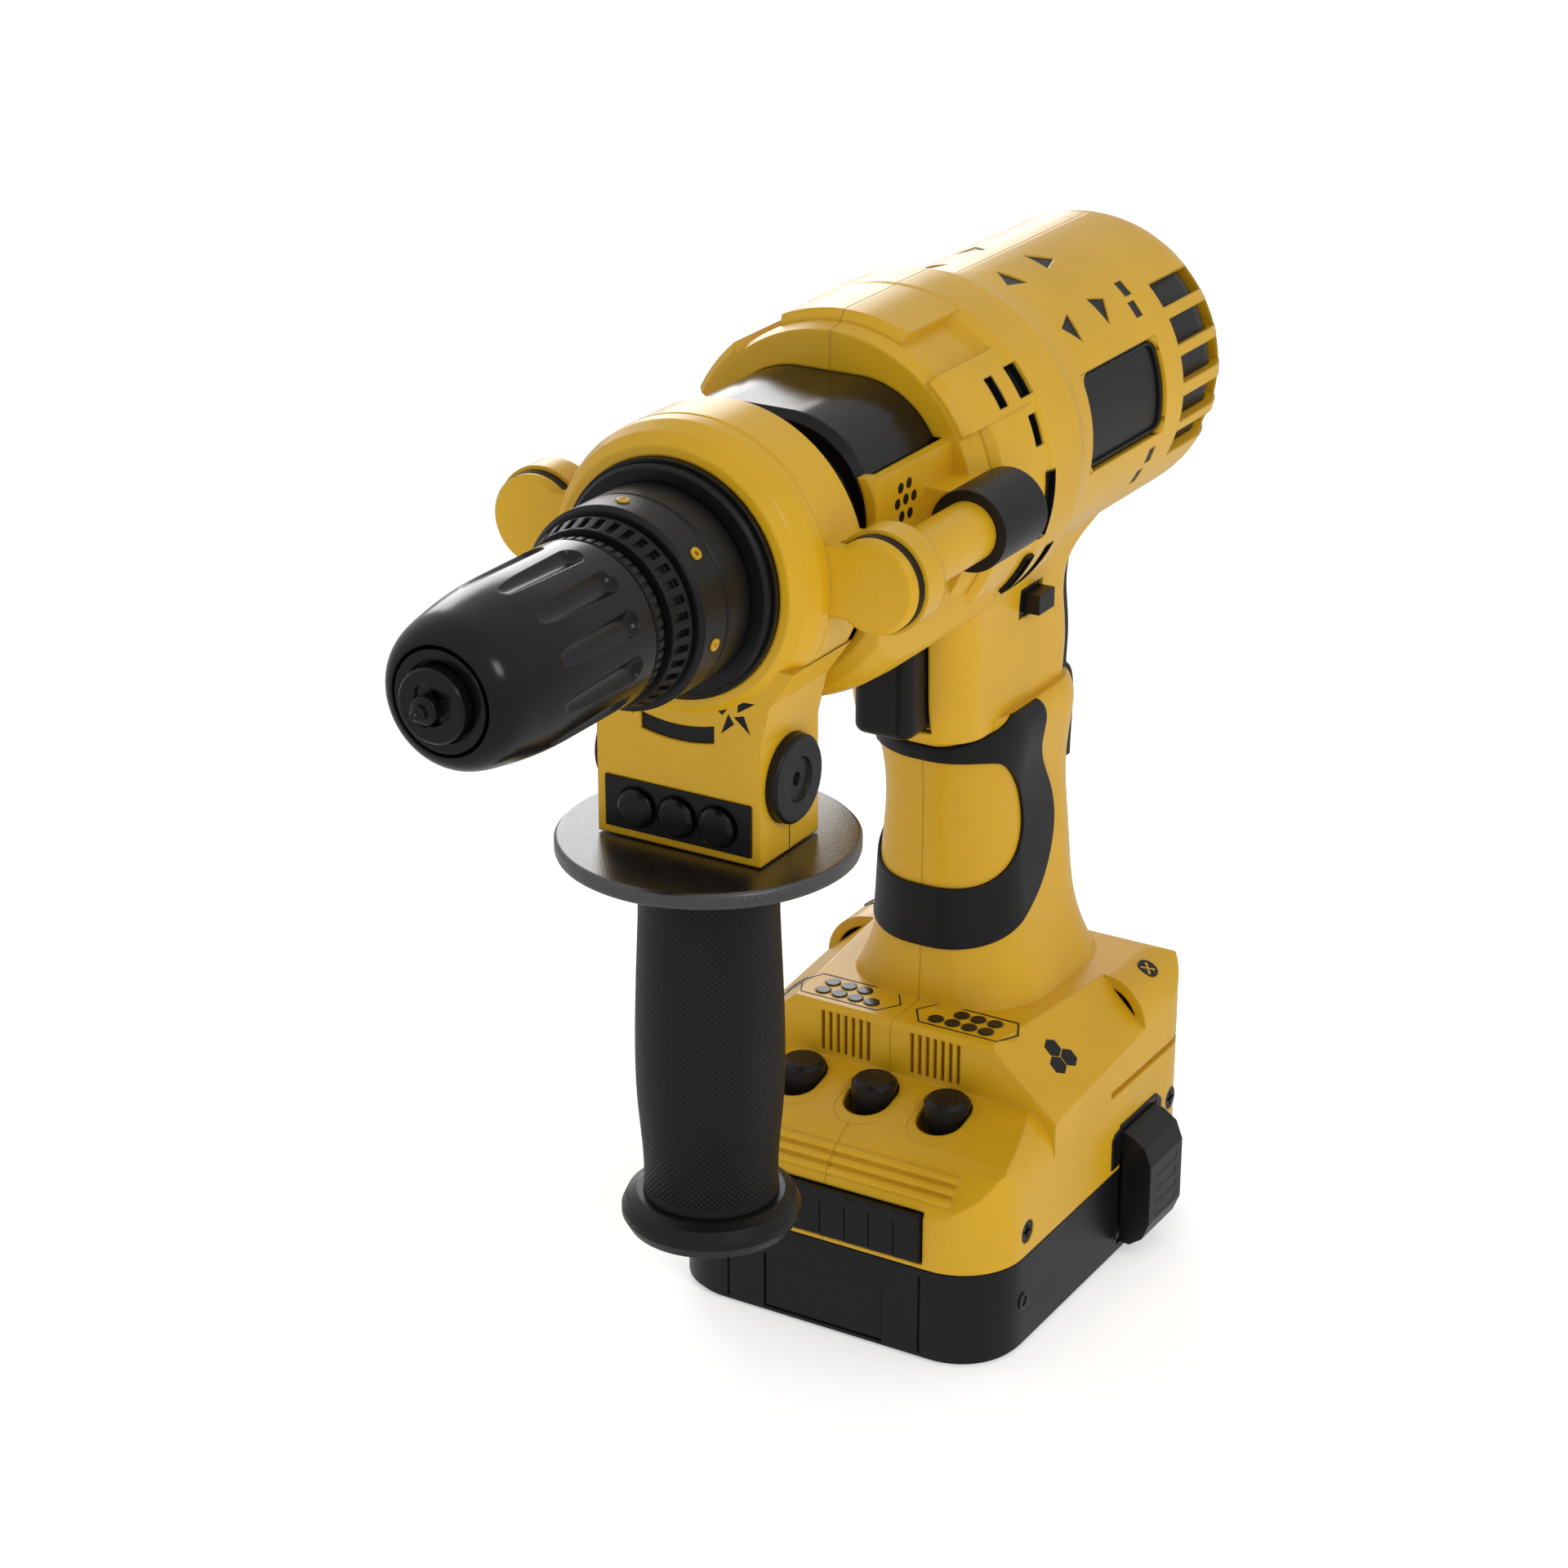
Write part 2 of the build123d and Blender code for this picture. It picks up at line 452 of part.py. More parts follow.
# ---------------------------------------------------------------- motor and gears
def build_drive():
    save("output_gear", gear(T_OUT, -60, -52, 0, AXIS_Z, -pi / 2, SPINDLE_R))
    wheel = gear(T_WHEEL, -46, -41, 0, AXLE_Z, pi / 2 + pi / T_WHEEL, AXLE_R + FIT)
    small = gear(T_SMALL, -61, -45.9, 0, AXLE_Z, pi / 2 + pi / T_SMALL, AXLE_R + FIT)
    save("compound_gear", biggest(wheel + small))
    save("gear_axle", cyl_y(AXLE_R, -79.0, -35.4, 0, AXLE_Z))
    save("motor_pinion", gear(T_PINION, -47.0, -40.4, 0, AXIS_Z, -pi / 2, SHAFT_R))
    plate = cyl_y(25.2, -37.9, -35.4) - cyl_y(5.2, -39, -34) - cyl_y(AXLE_R, -39, -34, 0, AXLE_Z)
    save("motor_mount", plate)
    can = ring_y(18.2, 17.0, -35.2, 28.0) + ring_y(17.0, 3.0, -35.2, -33.8) + ring_y(17.0, 3.0, 26.6, 28.0)
    save("motor_can", can)
    rotor = cyl_y(SHAFT_R, -47.0, 42.0)
    for k in range(5):
        rotor = rotor + Pos(0, 0, AXIS_Z) * Rot(0, 72 * k, 0) * (Pos(0, -3, 8.6) * Box(9.6, 44, 9.0)
                                                                + Pos(0, -3, 4.0) * Box(3.2, 44, 8.0))
    rotor = rotor & cyl_y(15.6, -60, 60)
    rotor = rotor + cyl_y(5.0, 19.0, 25.0)
    save("motor_rotor", biggest(rotor))
    fan = ring_y(5.0, SHAFT_R, 31.0, 40.0)
    for k in range(9):
        blade = Pos(0, 35.5, 13.0) * Rot(0, 0, 32) * Box(1.2, 8.0, 18.0)
        fan = fan + Pos(0, 0, AXIS_Z) * Rot(0, 40 * k, 0) * blade
    save("cooling_fan", biggest(fan))
    save("bushes", ring_y(BORE, SPINDLE_R + FIT, -79, -73), ring_y(BORE, SPINDLE_R + FIT, -133.4, -124),
         ring_y(3.0, SHAFT_R + FIT, -35.2, -31.5), ring_y(3.0, SHAFT_R + FIT, 25.4, 30.0))


# ---------------------------------------------------------------- controls
def coil(r, wire, y0, y1, turns, x, z):
    """Compression spring along Y, as stacked rings joined by a thin seam bar."""
    rings = [Pos(x, y0 + wire + (y1 - y0 - 2 * wire) * k / (turns - 1), z) * Rot(90, 0, 0) * Torus(r, wire)
             for k in range(turns)]
    bar = box(x - wire / 2, x + wire / 2, y0 + wire, y1 - wire, z + r - wire / 2, z + r + wire / 2)
    return Part() + rings + bar


TRIG_Z = (131.0, 156.8)


def build_controls():
    low, high = TRIG_Z
    plan = Pos(0, TRIG_FRONT + 9.5) * RectangleRounded(2 * TRIG_HALF, 19.0, 3.2)
    trigger = Pos(0, 0, low) * extrude(plan, high - low)
    trigger = fillet(trigger.faces().sort_by(Axis.Z)[0].edges(), 2.0)
    trigger = trigger + cyl_y(2.4, -10.0, 1.0, 0, 141.0)
    save("trigger", trigger)
    save("trigger_spring", coil(3.3, 0.4, -8.9, -0.1, 6, 0, 141.0))
    switch = box(-9, 9, 0, 23, 132.5, 148.8) - cyl_y(2.5, -1, 8.5, 0, 141.0)
    save("switch_module", switch)
    y0, y1, z0, z1 = SLIDER_Y[0] + 0.5, SLIDER_Y[1] - 0.5, SLIDER_Z[0] + 0.4, SLIDER_Z[1] - 0.4
    slider = box(-14.7, 14.7, y0, y1, z0, z1) + box(-15.1, 18.9, y0 + 1.3, y1 - 0.6, z0 + 0.8, z1 - 0.8)
    save("direction_slider", slider)
    for name, k in (("left", -1), ("middle", 0), ("right", 1)):
        x = k * KNOB_PITCH
        knob = turned_z([(0, 38.2), (2.0, 38.2), (2.0, KNOB_FLOOR + 0.3), (4.6, KNOB_FLOOR + 0.3),
                         (KNOB_R, KNOB_FLOOR + 2.0), (KNOB_R, KNOB_TOP - 1.1), (KNOB_R - 0.9, KNOB_TOP - 0.2),
                         (0, KNOB_TOP)], x, KNOB_Y)
        save(f"knob_{name}", knob)
    board = box(-30, 30, -42, -4, 34.2, 35.6)
    pots = Part()
    for k in (-1, 0, 1):
        pots = pots + box(k * KNOB_PITCH - 5.5, k * KNOB_PITCH + 5.5, KNOB_Y - 5.5, KNOB_Y + 5.5, 35.6, 37.9)
    save("control_board", board + pots)


# ---------------------------------------------------------------- trims of the housing
def shell_layer(outer_inset, inner_inset):
    return barrel_solid(outer_inset) - barrel_solid(inner_inset)


GRIP_OUTER = ((-9.8, 119.7), (-8.4, 124.3), (-3.6, 127.5), (1.1, 130.2), (6.5, 131.8), (11.4, 130.4),
              (13.2, 126.5), (13.0, 121.2), (16.5, 113.3), (21.3, 105.8), (22.4, 100.0), (20.5, 93.4),
              (15.0, 85.6), (5.6, 80.0), (-4.0, 77.0), (-12.0, 75.4))
GRIP_INNER = ((-12.0, 90.4), (-4.8, 90.7), (0.5, 93.0), (5.2, 96.6), (7.9, 101.5), (7.0, 108.5), (2.7, 115.2),
              (-1.4, 119.0), (-5.2, 119.9), (-9.8, 119.7))


def build_trims():
    edge = Spline(*GRIP_OUTER) + Line(GRIP_OUTER[-1], GRIP_INNER[0]) + Spline(*GRIP_INNER)
    outline = Plane.YZ * make_face(edge)
    band = Pos(-30, 0, 0) * extrude(outline, 60)
    skin = handle_solid(-0.8) - handle_solid(0)
    save("grip_overmould", biggest(skin & band))
    pad = (handle_solid(-1.2) - handle_solid(0)) & box(-13.0, 13.0, 24, 60, 108, 155)
    save("rear_grip_pad", biggest(pad))
    layer = shell_layer(WALL + 0.05, WALL + 0.9)
    save("dust_screens", layer & box(-40, 40, 43, 76, 172, 240), layer & box(-40, 40, -38, -6, 172, 240))
    panel = window_sector(30.6, 28.9, -0.1) - shell_layer(WALL + 0.05, WALL + 0.9)
    save("window_panels", panel, mirror_x(panel))
    save("rod_sockets", *[ring_y(8.2, ROD_R + FIT, -60.8, -45.4, side * ROD_X, ROD_Z)
                          + cyl_y(8.2, -45.4, -43.6, side * ROD_X, ROD_Z) for side in (1, -1)])
    save("louvre_insert", box(-19, 19, STEP_Y + WALL, STEP_Y + WALL + 1.0, 50.6, 58.7))
    screws = [cross_screw_x(SCREW_R - 0.02, -10.5, 13.2, y, z, SCREW_HEAD_R) for y, z in SCREW_SPOTS]
    for y, z in SIDE_SCREWS:
        for side in (1, -1):
            screws.append(cross_screw_x(SCREW_R - 0.02, side * 33.5, side * 40.5, y, z, SCREW_HEAD_R))
    save("housing_screws", *screws)


# ---------------------------------------------------------------- front handle
BUTTON_X, BUTTON_Z, BUTTON_R = (-9.1, 0.0, 9.1), 142.0, 4.0
STUD_R = 5.0
BOLT_R, BOLT_Z = 8.8, 150.2
BOSS_Y, GASKET_Y = -98.6, (-96.6, -94.8)   # front of the guide-rod bosses, groove of their gaskets


def build_front_handle():
    """Clamp ring with its block, the two guide-rod bosses and everything fixed to them."""
    bore = NECK_R + FIT
    ring = turned_y([(bore, -107.3), (25.4, -107.3), (27.6, -105.2), (29.0, -101.5), (CLAMP_R, -98.8),
                     (28.8, -98.3), (CLAMP_R, -97.8), (CLAMP_R, -86.0), (28.4, CLAMP_Y1), (bore, CLAMP_Y1)])
    sides = ((-18.3, 135.35), (18.3, 135.35), (18.3, 160.0), (20.3, 168.5), (25.6, 176.0), (-25.6, 176.0),
             (-20.3, 168.5), (-18.3, 160.0))
    block = front_prism(sides, GRIP_Y - BLOCK_Y / 2, GRIP_Y + BLOCK_Y / 2)
    block = block - cyl_y(bore + 0.02, -120, -70)
    front = GRIP_Y - BLOCK_Y / 2
    body = ring + block
    for side in (1, -1):
        x = side * ROD_X
        x0, x1 = sorted((side * 24.5, x))
        arm = box(x0, x1, BOSS_Y, -87.5, ROD_Z - 7.0, ROD_Z + 7.0) - cyl_y(bore, -120, -70)
        arm = arm - ring_y(12.0, 7.9, GASKET_Y[0], GASKET_Y[1], x, ROD_Z)
        boss = cyl_y(10.1, GASKET_Y[1], -88.5, x, ROD_Z) + cyl_y(7.9, -98, -90, x, ROD_Z)
        boss = boss + chamfer(cyl_y(9.2, BOSS_Y, GASKET_Y[0], x, ROD_Z).edges().sort_by(Axis.Y)[0], 0.9)
        web = box(*sorted((side * 24.5, side * 29.6)), BOSS_Y, -87.5, ROD_Z - 7.0, ROD_Z + 7.0)
        body = body + (arm + boss + web - cyl_y(bore, -120, -70)) - cyl_y(ROD_R + 0.03, -93.0, -80, x, ROD_Z)
    body = body - box(-16.4, 16.4, front - 1, front + 1.2, 137.0, 147.6)
    slot = ring_y(33.0, 29.6, front - 1, front + 1.0) & box(-8.2, 8.2, -120, -90, 150, 165)
    body = body - slot - cyl_z(STUD_R + FIT, 130, 148.0, 0, GRIP_Y)
    for side in (1, -1):
        x0, x1 = sorted((side * 16.9, side * 30.0))
        body = body - cyl_x(BOLT_R + 0.1, x0, x1, GRIP_Y, BOLT_Z)
    for x in BUTTON_X:
        body = body - cyl_y(1.6 + GAP, front, front + 4, x, BUTTON_Z)
    save("clamp_ring", biggest(body))
    panel = box(-16.35, 16.35, front - 0.4, front + 1.15, 137.05, 147.55)
    for x in BUTTON_X:
        panel = panel - cyl_y(BUTTON_R + GAP, front - 2, front + 0.3, x, BUTTON_Z)
        panel = panel - cyl_y(1.6 + FIT, front - 2, front + 3, x, BUTTON_Z)
    save("clamp_panel", panel)
    for k, x in enumerate(BUTTON_X):
        cap = turned_y([(0, front - 2.0), (BUTTON_R - 0.8, front - 2.0), (BUTTON_R, front - 1.4),
                        (BUTTON_R, front - 1.1), (1.6, front - 1.1), (1.6, front + 0.9), (0, front + 0.9)],
                       x, BUTTON_Z)
        save(f"clamp_button_{k + 1}", cap)
    dish = ((0, 16.9), (BOLT_R, 16.9), (BOLT_R, 20.1), (BOLT_R - 0.5, 20.6), (4.6, 20.6), (4.2, 19.9),
            (1.4, 19.9), (1.0, 18.6), (0, 18.6))
    bolt = revolve(Plane.XZ * make_face(Polyline(*dish, close=True)), Axis.Z)
    bolt = Pos(0, GRIP_Y, BOLT_Z) * Rot(0, 90, 0) * bolt
    save("clamp_bolts", bolt, mirror_x(bolt))
    rods, gaskets = [], []
    for side in (1, -1):
        x = side * ROD_X
        rods.append(cyl_y(ROD_R, -93.0, -46.4, x, ROD_Z))
        cut = box(*sorted((side * 20, side * 29.7)), -110, -90, ROD_Z - 12, ROD_Z + 12)
        gaskets.append(ring_y(9.35, 8.0, GASKET_Y[0] + 0.03, GASKET_Y[1] - 0.03, x, ROD_Z) - cut)
    save("guide_rods", *rods)
    save("rod_gaskets", *gaskets)


def build_side_grip():
    """Turning grip that hangs under the clamp: soft sleeve, round guard, end flange and stud."""
    top = FLANGE_TOP - FLANGE_T
    bore = STUD_R + 0.03
    edge = [(bore, top), (14.6, top), (14.0, 126.0), (14.0, 118.0)]
    curve = Spline(edge[-1], (14.5, 106.0), (14.9, 94.0), (14.6, 76.0), (13.6, 59.5), (13.8, 56.65))
    face = make_face(Polyline(*edge) + curve + Polyline((13.8, 56.65), (bore, 56.65), edge[0]))
    save("side_grip", Pos(0, GRIP_Y, 0) * revolve(Plane.XZ * face, Axis.Z))
    save("guard_flange", turned_z([(bore, top), (28.8, top), (FLANGE_R, top + 0.7),
                                   (FLANGE_R, FLANGE_TOP - 0.6), (FLANGE_R - 0.6, FLANGE_TOP),
                                   (bore, FLANGE_TOP)], 0, GRIP_Y))
    save("end_flange", turned_z([(0, 48.7), (14.5, 48.7), (17.0, 49.8), (18.2, 52.0), (18.2, 53.4),
                                 (17.2, 55.6), (15.0, 56.6), (0, 56.6)], 0, GRIP_Y))
    save("handle_stud", cyl_z(STUD_R, 56.65, 147.7, 0, GRIP_Y))


# ---------------------------------------------------------------- battery
CELL_R = 7.1


def build_battery():
    half_x, half_y = BASE_X / 2, BASE_Y / 2
    case = plan_prism(0, SEAM_Z - GAP) - plan_prism(2.0, SEAM_Z + 1, 2.2)
    case = case - plan_prism(-1, 1.2, -3) + plan_prism(0, 1.3, 1.2)
    case = case - box(-14.8, 14.8, -half_y - 1, -half_y + 0.9, 1.6, 15.0)
    for k in (-1, 0, 1):
        case = case - box(k * 9 - 0.5, k * 9 + 0.5, -half_y - 1, -half_y + 1.3, 3.4, 12.6)
    for x in (-23.8, 23.8):
        case = case - box(x - 0.35, x + 0.35, -half_y - 1, -half_y + 0.6, 1.6, 20.5)
    for side in (1, -1):
        x0, x1 = sorted((side * (half_x - 0.5), side * 60))
        case = case - box(x0, x1, CLIP_Y[0] - 0.3, CLIP_Y[1] + 0.3, 3.0, SEAM_Z)
    for k in range(6):
        y = -37.5 + 15 * k
        cradle = box(-26, 26, y - 5.2, y + 5.2, 1.9, 5.4) - cyl_x(CELL_R + 0.1, -30, 30, y, 9.3)
        case = case + cradle
    for x, y in BATTERY_POSTS:
        case = case + (cyl_z(2.6, 1.0, SEAM_Z - 2.9, x, y) - cyl_z(1.3, 1, 30, x, y))
    case = case - [cyl_z(1.3, -1, 30, x, y) + cyl_z(2.7, -1, 1.2, x, y) for x, y in BATTERY_POSTS]
    lid = plan_prism(SEAM_Z - 2.8, SEAM_Z - GAP, 2.3)
    case = case - plan_prism(SEAM_Z - 2.85, SEAM_Z + 1, 2.25)
    save("battery_case", biggest(case))
    tower = box(-17, 17, -14, 26, SEAM_Z - 1, 31.0) - box(-15, 15, -12, 24, SEAM_Z - 3, 29.0)
    lid = lid + tower
    lid = lid - [box(x - 1.6, x + 1.6, -9, -4, 28, 32) for x in (-9.0, 0.0, 9.0)]
    lid = lid - [cyl_z(1.3, 0, SEAM_Z - 0.6, x, y) for x, y in BATTERY_POSTS]
    save("battery_top", biggest(lid))
    cells = []
    for k in range(6):
        y = -37.5 + 15 * k
        cells.append(cyl_x(CELL_R, -24.5, 24.5, y, 9.3) + cyl_x(2.6, 24.5, 25.7, y, 9.3))
    save("battery_cells", *cells)
    save("battery_contacts", *[box(x - 1.5, x + 1.5, -8.9, -4.1, 24.5, 32.2) for x in (-9.0, 0.0, 9.0)])
    save("battery_screws", *[cyl_z(1.27, 0.5, SEAM_Z - 0.9, x, y) + cyl_z(2.6, 0.3, 1.15, x, y)
                             - box(x - 1.7, x + 1.7, y - 0.3, y + 0.3, 0, 0.8)
                             - box(x - 0.3, x + 0.3, y - 1.7, y + 1.7, 0, 0.8) for x, y in BATTERY_POSTS])


BATTERY_POSTS = ((33.2, -41.5), (-33.2, -41.5), (33.2, 43.0), (-33.2, 43.0))


def build_latches():
    half_y = BASE_Y / 2
    front = box(-LATCH_X, LATCH_X, LATCH_FRONT + 0.9, -half_y + 2.4, 23.8, 35.4)
    lip = front_prism(((-LATCH_X, 35.4), (LATCH_X, 35.4), (LATCH_X - 2, 32.8), (-LATCH_X + 2, 32.8)),
                      LATCH_FRONT, -half_y + 2.4)
    front = front + lip
    for k in range(6):
        x = -15 + 6 * k
        front = front + cyl_z(0.9, 25.2, 32.0, x, LATCH_FRONT + 0.95)
    save("front_latch", front)
    y0, y1 = CLIP_Y[0] + 0.4, CLIP_Y[1] - 0.4
    outline = ((41.05, 3.6), (43.6, 3.4), (46.6, 5.6), (48.2, 9.6), (48.2, 24.2), (46.6, 28.4), (43.4, 30.6),
               (40.0, 31.6), (37.9, 31.4), (37.9, 27.8), (40.2, 27.0), (41.05, 25.4))
    for name, side in (("left", -1), ("right", 1)):
        clip = front_prism(outline, y0, y1)
        clip = clip + cyl_y(CLIP_PIN_R, CLIP_Y[0] - 1.4, CLIP_Y[1] + 1.4, CLIP_PIN_X, CLIP_PIN_Z)
        for k in range(4):
            clip = clip - box(47.6, 49, y0 + 3, y1 - 3, 10.5 + 3.4 * k, 12.1 + 3.4 * k)
        save(f"side_clip_{name}", clip if side > 0 else mirror_x(clip))


left, right = build_housing()
save("housing_left", left)
save("housing_right", right)
save("gear_case", biggest(build_gear_case()))
build_nose_rings()
build_chuck()
build_drive()
build_controls()
build_trims()
build_front_handle()
build_side_grip()
build_battery()
build_latches()
save("deck_discs", *deck_disc_stack())
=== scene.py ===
import json
from math import pi, sin, cos, radians, hypot, sqrt, atan2
import bpy
import bmesh
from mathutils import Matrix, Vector


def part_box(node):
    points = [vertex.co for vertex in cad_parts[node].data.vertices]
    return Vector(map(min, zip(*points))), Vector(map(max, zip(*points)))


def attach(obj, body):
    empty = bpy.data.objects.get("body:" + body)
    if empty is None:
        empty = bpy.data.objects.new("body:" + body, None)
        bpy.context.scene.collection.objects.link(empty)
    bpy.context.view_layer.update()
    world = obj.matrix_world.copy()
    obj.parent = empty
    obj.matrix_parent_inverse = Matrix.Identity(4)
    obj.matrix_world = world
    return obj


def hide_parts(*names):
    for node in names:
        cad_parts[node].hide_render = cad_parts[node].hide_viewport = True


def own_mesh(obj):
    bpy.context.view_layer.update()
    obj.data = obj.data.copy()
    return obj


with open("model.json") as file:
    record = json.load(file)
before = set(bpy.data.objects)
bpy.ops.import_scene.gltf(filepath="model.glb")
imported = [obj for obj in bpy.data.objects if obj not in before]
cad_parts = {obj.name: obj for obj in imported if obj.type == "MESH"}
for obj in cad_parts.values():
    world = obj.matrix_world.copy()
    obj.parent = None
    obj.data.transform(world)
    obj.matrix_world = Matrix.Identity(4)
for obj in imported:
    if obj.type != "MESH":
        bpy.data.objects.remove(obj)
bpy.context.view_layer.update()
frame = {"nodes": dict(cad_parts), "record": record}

MM = 0.001


# ---------------------------------------------------------------- key places, from the frame (millimetres)
def middle(node, axis):
    low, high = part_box(node)
    return (low[axis] + high[axis]) / 2 / MM


AXIS_Z = middle("spindle", 2)               # chuck axis
GRIP_Y = middle("handle_stud", 1)           # upright axis of the front handle
SHELL_Z = AXIS_Z + 1.0                      # axis of the moulded barrel
BLOCK_FRONT = GRIP_Y - 10.75                # front face of the clamp block
SIDE_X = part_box("battery_case")[1][0] / MM  # flat side of the battery and base cover
DECK_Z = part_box("deck_discs")[1][2] / MM - 0.25   # upper deck of the base cover


# ---------------------------------------------------------------- materials
class Tree:
    """Small helper that builds a node material with a Principled shader."""

    def __init__(self, name):
        self.material = bpy.data.materials.new(name)
        self.material.use_nodes = True
        self.nodes, self.links = self.material.node_tree.nodes, self.material.node_tree.links
        self.nodes.clear()
        self.shader = self.nodes.new("ShaderNodeBsdfPrincipled")
        out = self.nodes.new("ShaderNodeOutputMaterial")
        self.links.new(self.shader.outputs[0], out.inputs[0])
        self.coord = self.nodes.new("ShaderNodeTexCoord").outputs["Object"]

    def link(self, a, b):
        self.links.new(a, b)

    def feed(self, socket, value):
        """Puts a number, a colour or another node's output into a socket."""
        if isinstance(value, (int, float)):
            socket.default_value = value
        elif isinstance(value, tuple):
            socket.default_value = (*value, 1)
        else:
            self.link(value, socket)

    def math(self, operation, a, b=0.0):
        made = self.nodes.new("ShaderNodeMath")
        made.operation = operation
        self.feed(made.inputs[0], a)
        self.feed(made.inputs[1], b)
        return made.outputs[0]

    def noise(self, scale, detail=4.0, rough=0.5, vector=None):
        made = self.nodes.new("ShaderNodeTexNoise")
        made.inputs["Scale"].default_value = scale
        made.inputs["Detail"].default_value = detail
        made.inputs["Roughness"].default_value = rough
        self.link(vector or self.coord, made.inputs["Vector"])
        return made.outputs["Fac"]

    def remap(self, fac, low, high, start=0.3, end=0.7):
        made = self.nodes.new("ShaderNodeMapRange")
        for key, value in (("From Min", start), ("From Max", end), ("To Min", low), ("To Max", high)):
            made.inputs[key].default_value = value
        self.link(fac, made.inputs["Value"])
        return made.outputs["Result"]

    def ramp(self, fac, *stops):
        made = self.nodes.new("ShaderNodeValToRGB")
        ramp = made.color_ramp
        while len(ramp.elements) < len(stops):
            ramp.elements.new(0.5)
        for element, (place_at, colour) in zip(ramp.elements, stops):
            element.position = place_at
            element.color = (*colour, 1)
        self.link(fac, made.inputs["Fac"])
        return made.outputs["Color"]

    def mix(self, fac, a, b):
        made = self.nodes.new("ShaderNodeMix")
        made.data_type = "RGBA"
        for value, socket in ((fac, made.inputs[0]), (a, made.inputs[6]), (b, made.inputs[7])):
            self.feed(socket, value)
        return made.outputs[2]

    def bump(self, height, strength, distance, normal=None):
        made = self.nodes.new("ShaderNodeBump")
        made.inputs["Strength"].default_value = strength
        made.inputs["Distance"].default_value = distance
        self.link(height, made.inputs["Height"])
        if normal is not None:
            self.link(normal, made.inputs["Normal"])
        return made.outputs["Normal"]

    def soft_edges(self, radius):
        made = self.nodes.new("ShaderNodeBevel")
        made.samples = 6
        made.inputs["Radius"].default_value = radius
        return made.outputs["Normal"]

    def edge_mask(self, radius):
        """1 along sharp edges, 0 on open faces, from how far the softened normal turns away."""
        flat = self.nodes.new("ShaderNodeNewGeometry")
        dot = self.nodes.new("ShaderNodeVectorMath")
        dot.operation = "DOT_PRODUCT"
        self.link(self.soft_edges(radius), dot.inputs[0])
        self.link(flat.outputs["Normal"], dot.inputs[1])
        return self.remap(dot.outputs["Value"], 1.0, 0.0, 0.72, 0.99)


def moulded(name, colour, rough, grain, depth, edge=0.0006, wear=0.25, ior=1.45):
    """Moulded plastic: fine spark-eroded grain, soft edges, faint colour and gloss variation."""
    t = Tree(name)
    darker, paler = tuple(c * 0.94 for c in colour), tuple(min(1, c * 1.04) for c in colour)
    tone = t.ramp(t.noise(38, 5), (0.3, darker), (0.7, paler))
    lifted = tuple(min(1, c * 1.2 + 0.01) for c in colour)
    mask = t.remap(t.noise(420, 3), 0.0, wear, 0.42, 0.66)
    if wear > 0.1:
        mask = t.math("MULTIPLY", t.edge_mask(edge * 1.6), mask)
    t.link(t.mix(mask, tone, lifted), t.shader.inputs["Base Color"])
    t.link(t.remap(t.noise(26, 4, 0.6), rough * 0.88, rough * 1.14), t.shader.inputs["Roughness"])
    t.link(t.bump(t.noise(grain, 2, 0.6), depth, 0.0002, t.soft_edges(edge)), t.shader.inputs["Normal"])
    t.shader.inputs["IOR"].default_value = ior
    return t


def turned_metal(name, colour, rough):
    """Bare metal with fine turning marks round its parts."""
    t = Tree(name)
    stretch = t.nodes.new("ShaderNodeMapping")
    stretch.inputs["Scale"].default_value = (1, 24, 1)
    t.link(t.coord, stretch.inputs["Vector"])
    rings = t.noise(300, 3, 0.5, stretch.outputs[0])
    t.link(t.ramp(rings, (0.3, tuple(c * 0.8 for c in colour)), (0.7, colour)), t.shader.inputs["Base Color"])
    t.link(t.remap(rings, rough * 0.8, rough * 1.3), t.shader.inputs["Roughness"])
    t.link(t.bump(rings, 0.15, 0.0001, t.soft_edges(0.0003)), t.shader.inputs["Normal"])
    t.shader.inputs["Metallic"].default_value = 1.0
    return t


def knurled_rubber(name, colour, rough):
    """Soft sleeve of the front handle: crossing diagonal ribs between two plain ends."""
    t = moulded(name, colour, rough, 2400, 0.2, 0.0006, ior=1.33)
    split = t.nodes.new("ShaderNodeSeparateXYZ")
    t.link(t.coord, split.inputs[0])
    turn = t.math("ARCTAN2", t.math("SUBTRACT", split.outputs[1], GRIP_Y * MM), split.outputs[0])
    climb = t.math("MULTIPLY", split.outputs[2], 2 * pi / 0.00125)
    waves = []
    for lean in (1, -1):
        phase = t.math("ADD", t.math("MULTIPLY", turn, 68 * lean), climb)
        waves.append(t.math("SINE", phase))
    ribs = t.math("MAXIMUM", waves[0], waves[1])
    inside = t.math("MULTIPLY", t.remap(split.outputs[2], 0.0, 1.0, 0.0585, 0.0595),
                    t.remap(split.outputs[2], 1.0, 0.0, 0.1305, 0.1315))
    pattern = t.math("MULTIPLY", ribs, inside)
    old = t.shader.inputs["Normal"].links[0].from_socket
    t.link(t.bump(pattern, 0.55, 0.00035, old), t.shader.inputs["Normal"])
    return t


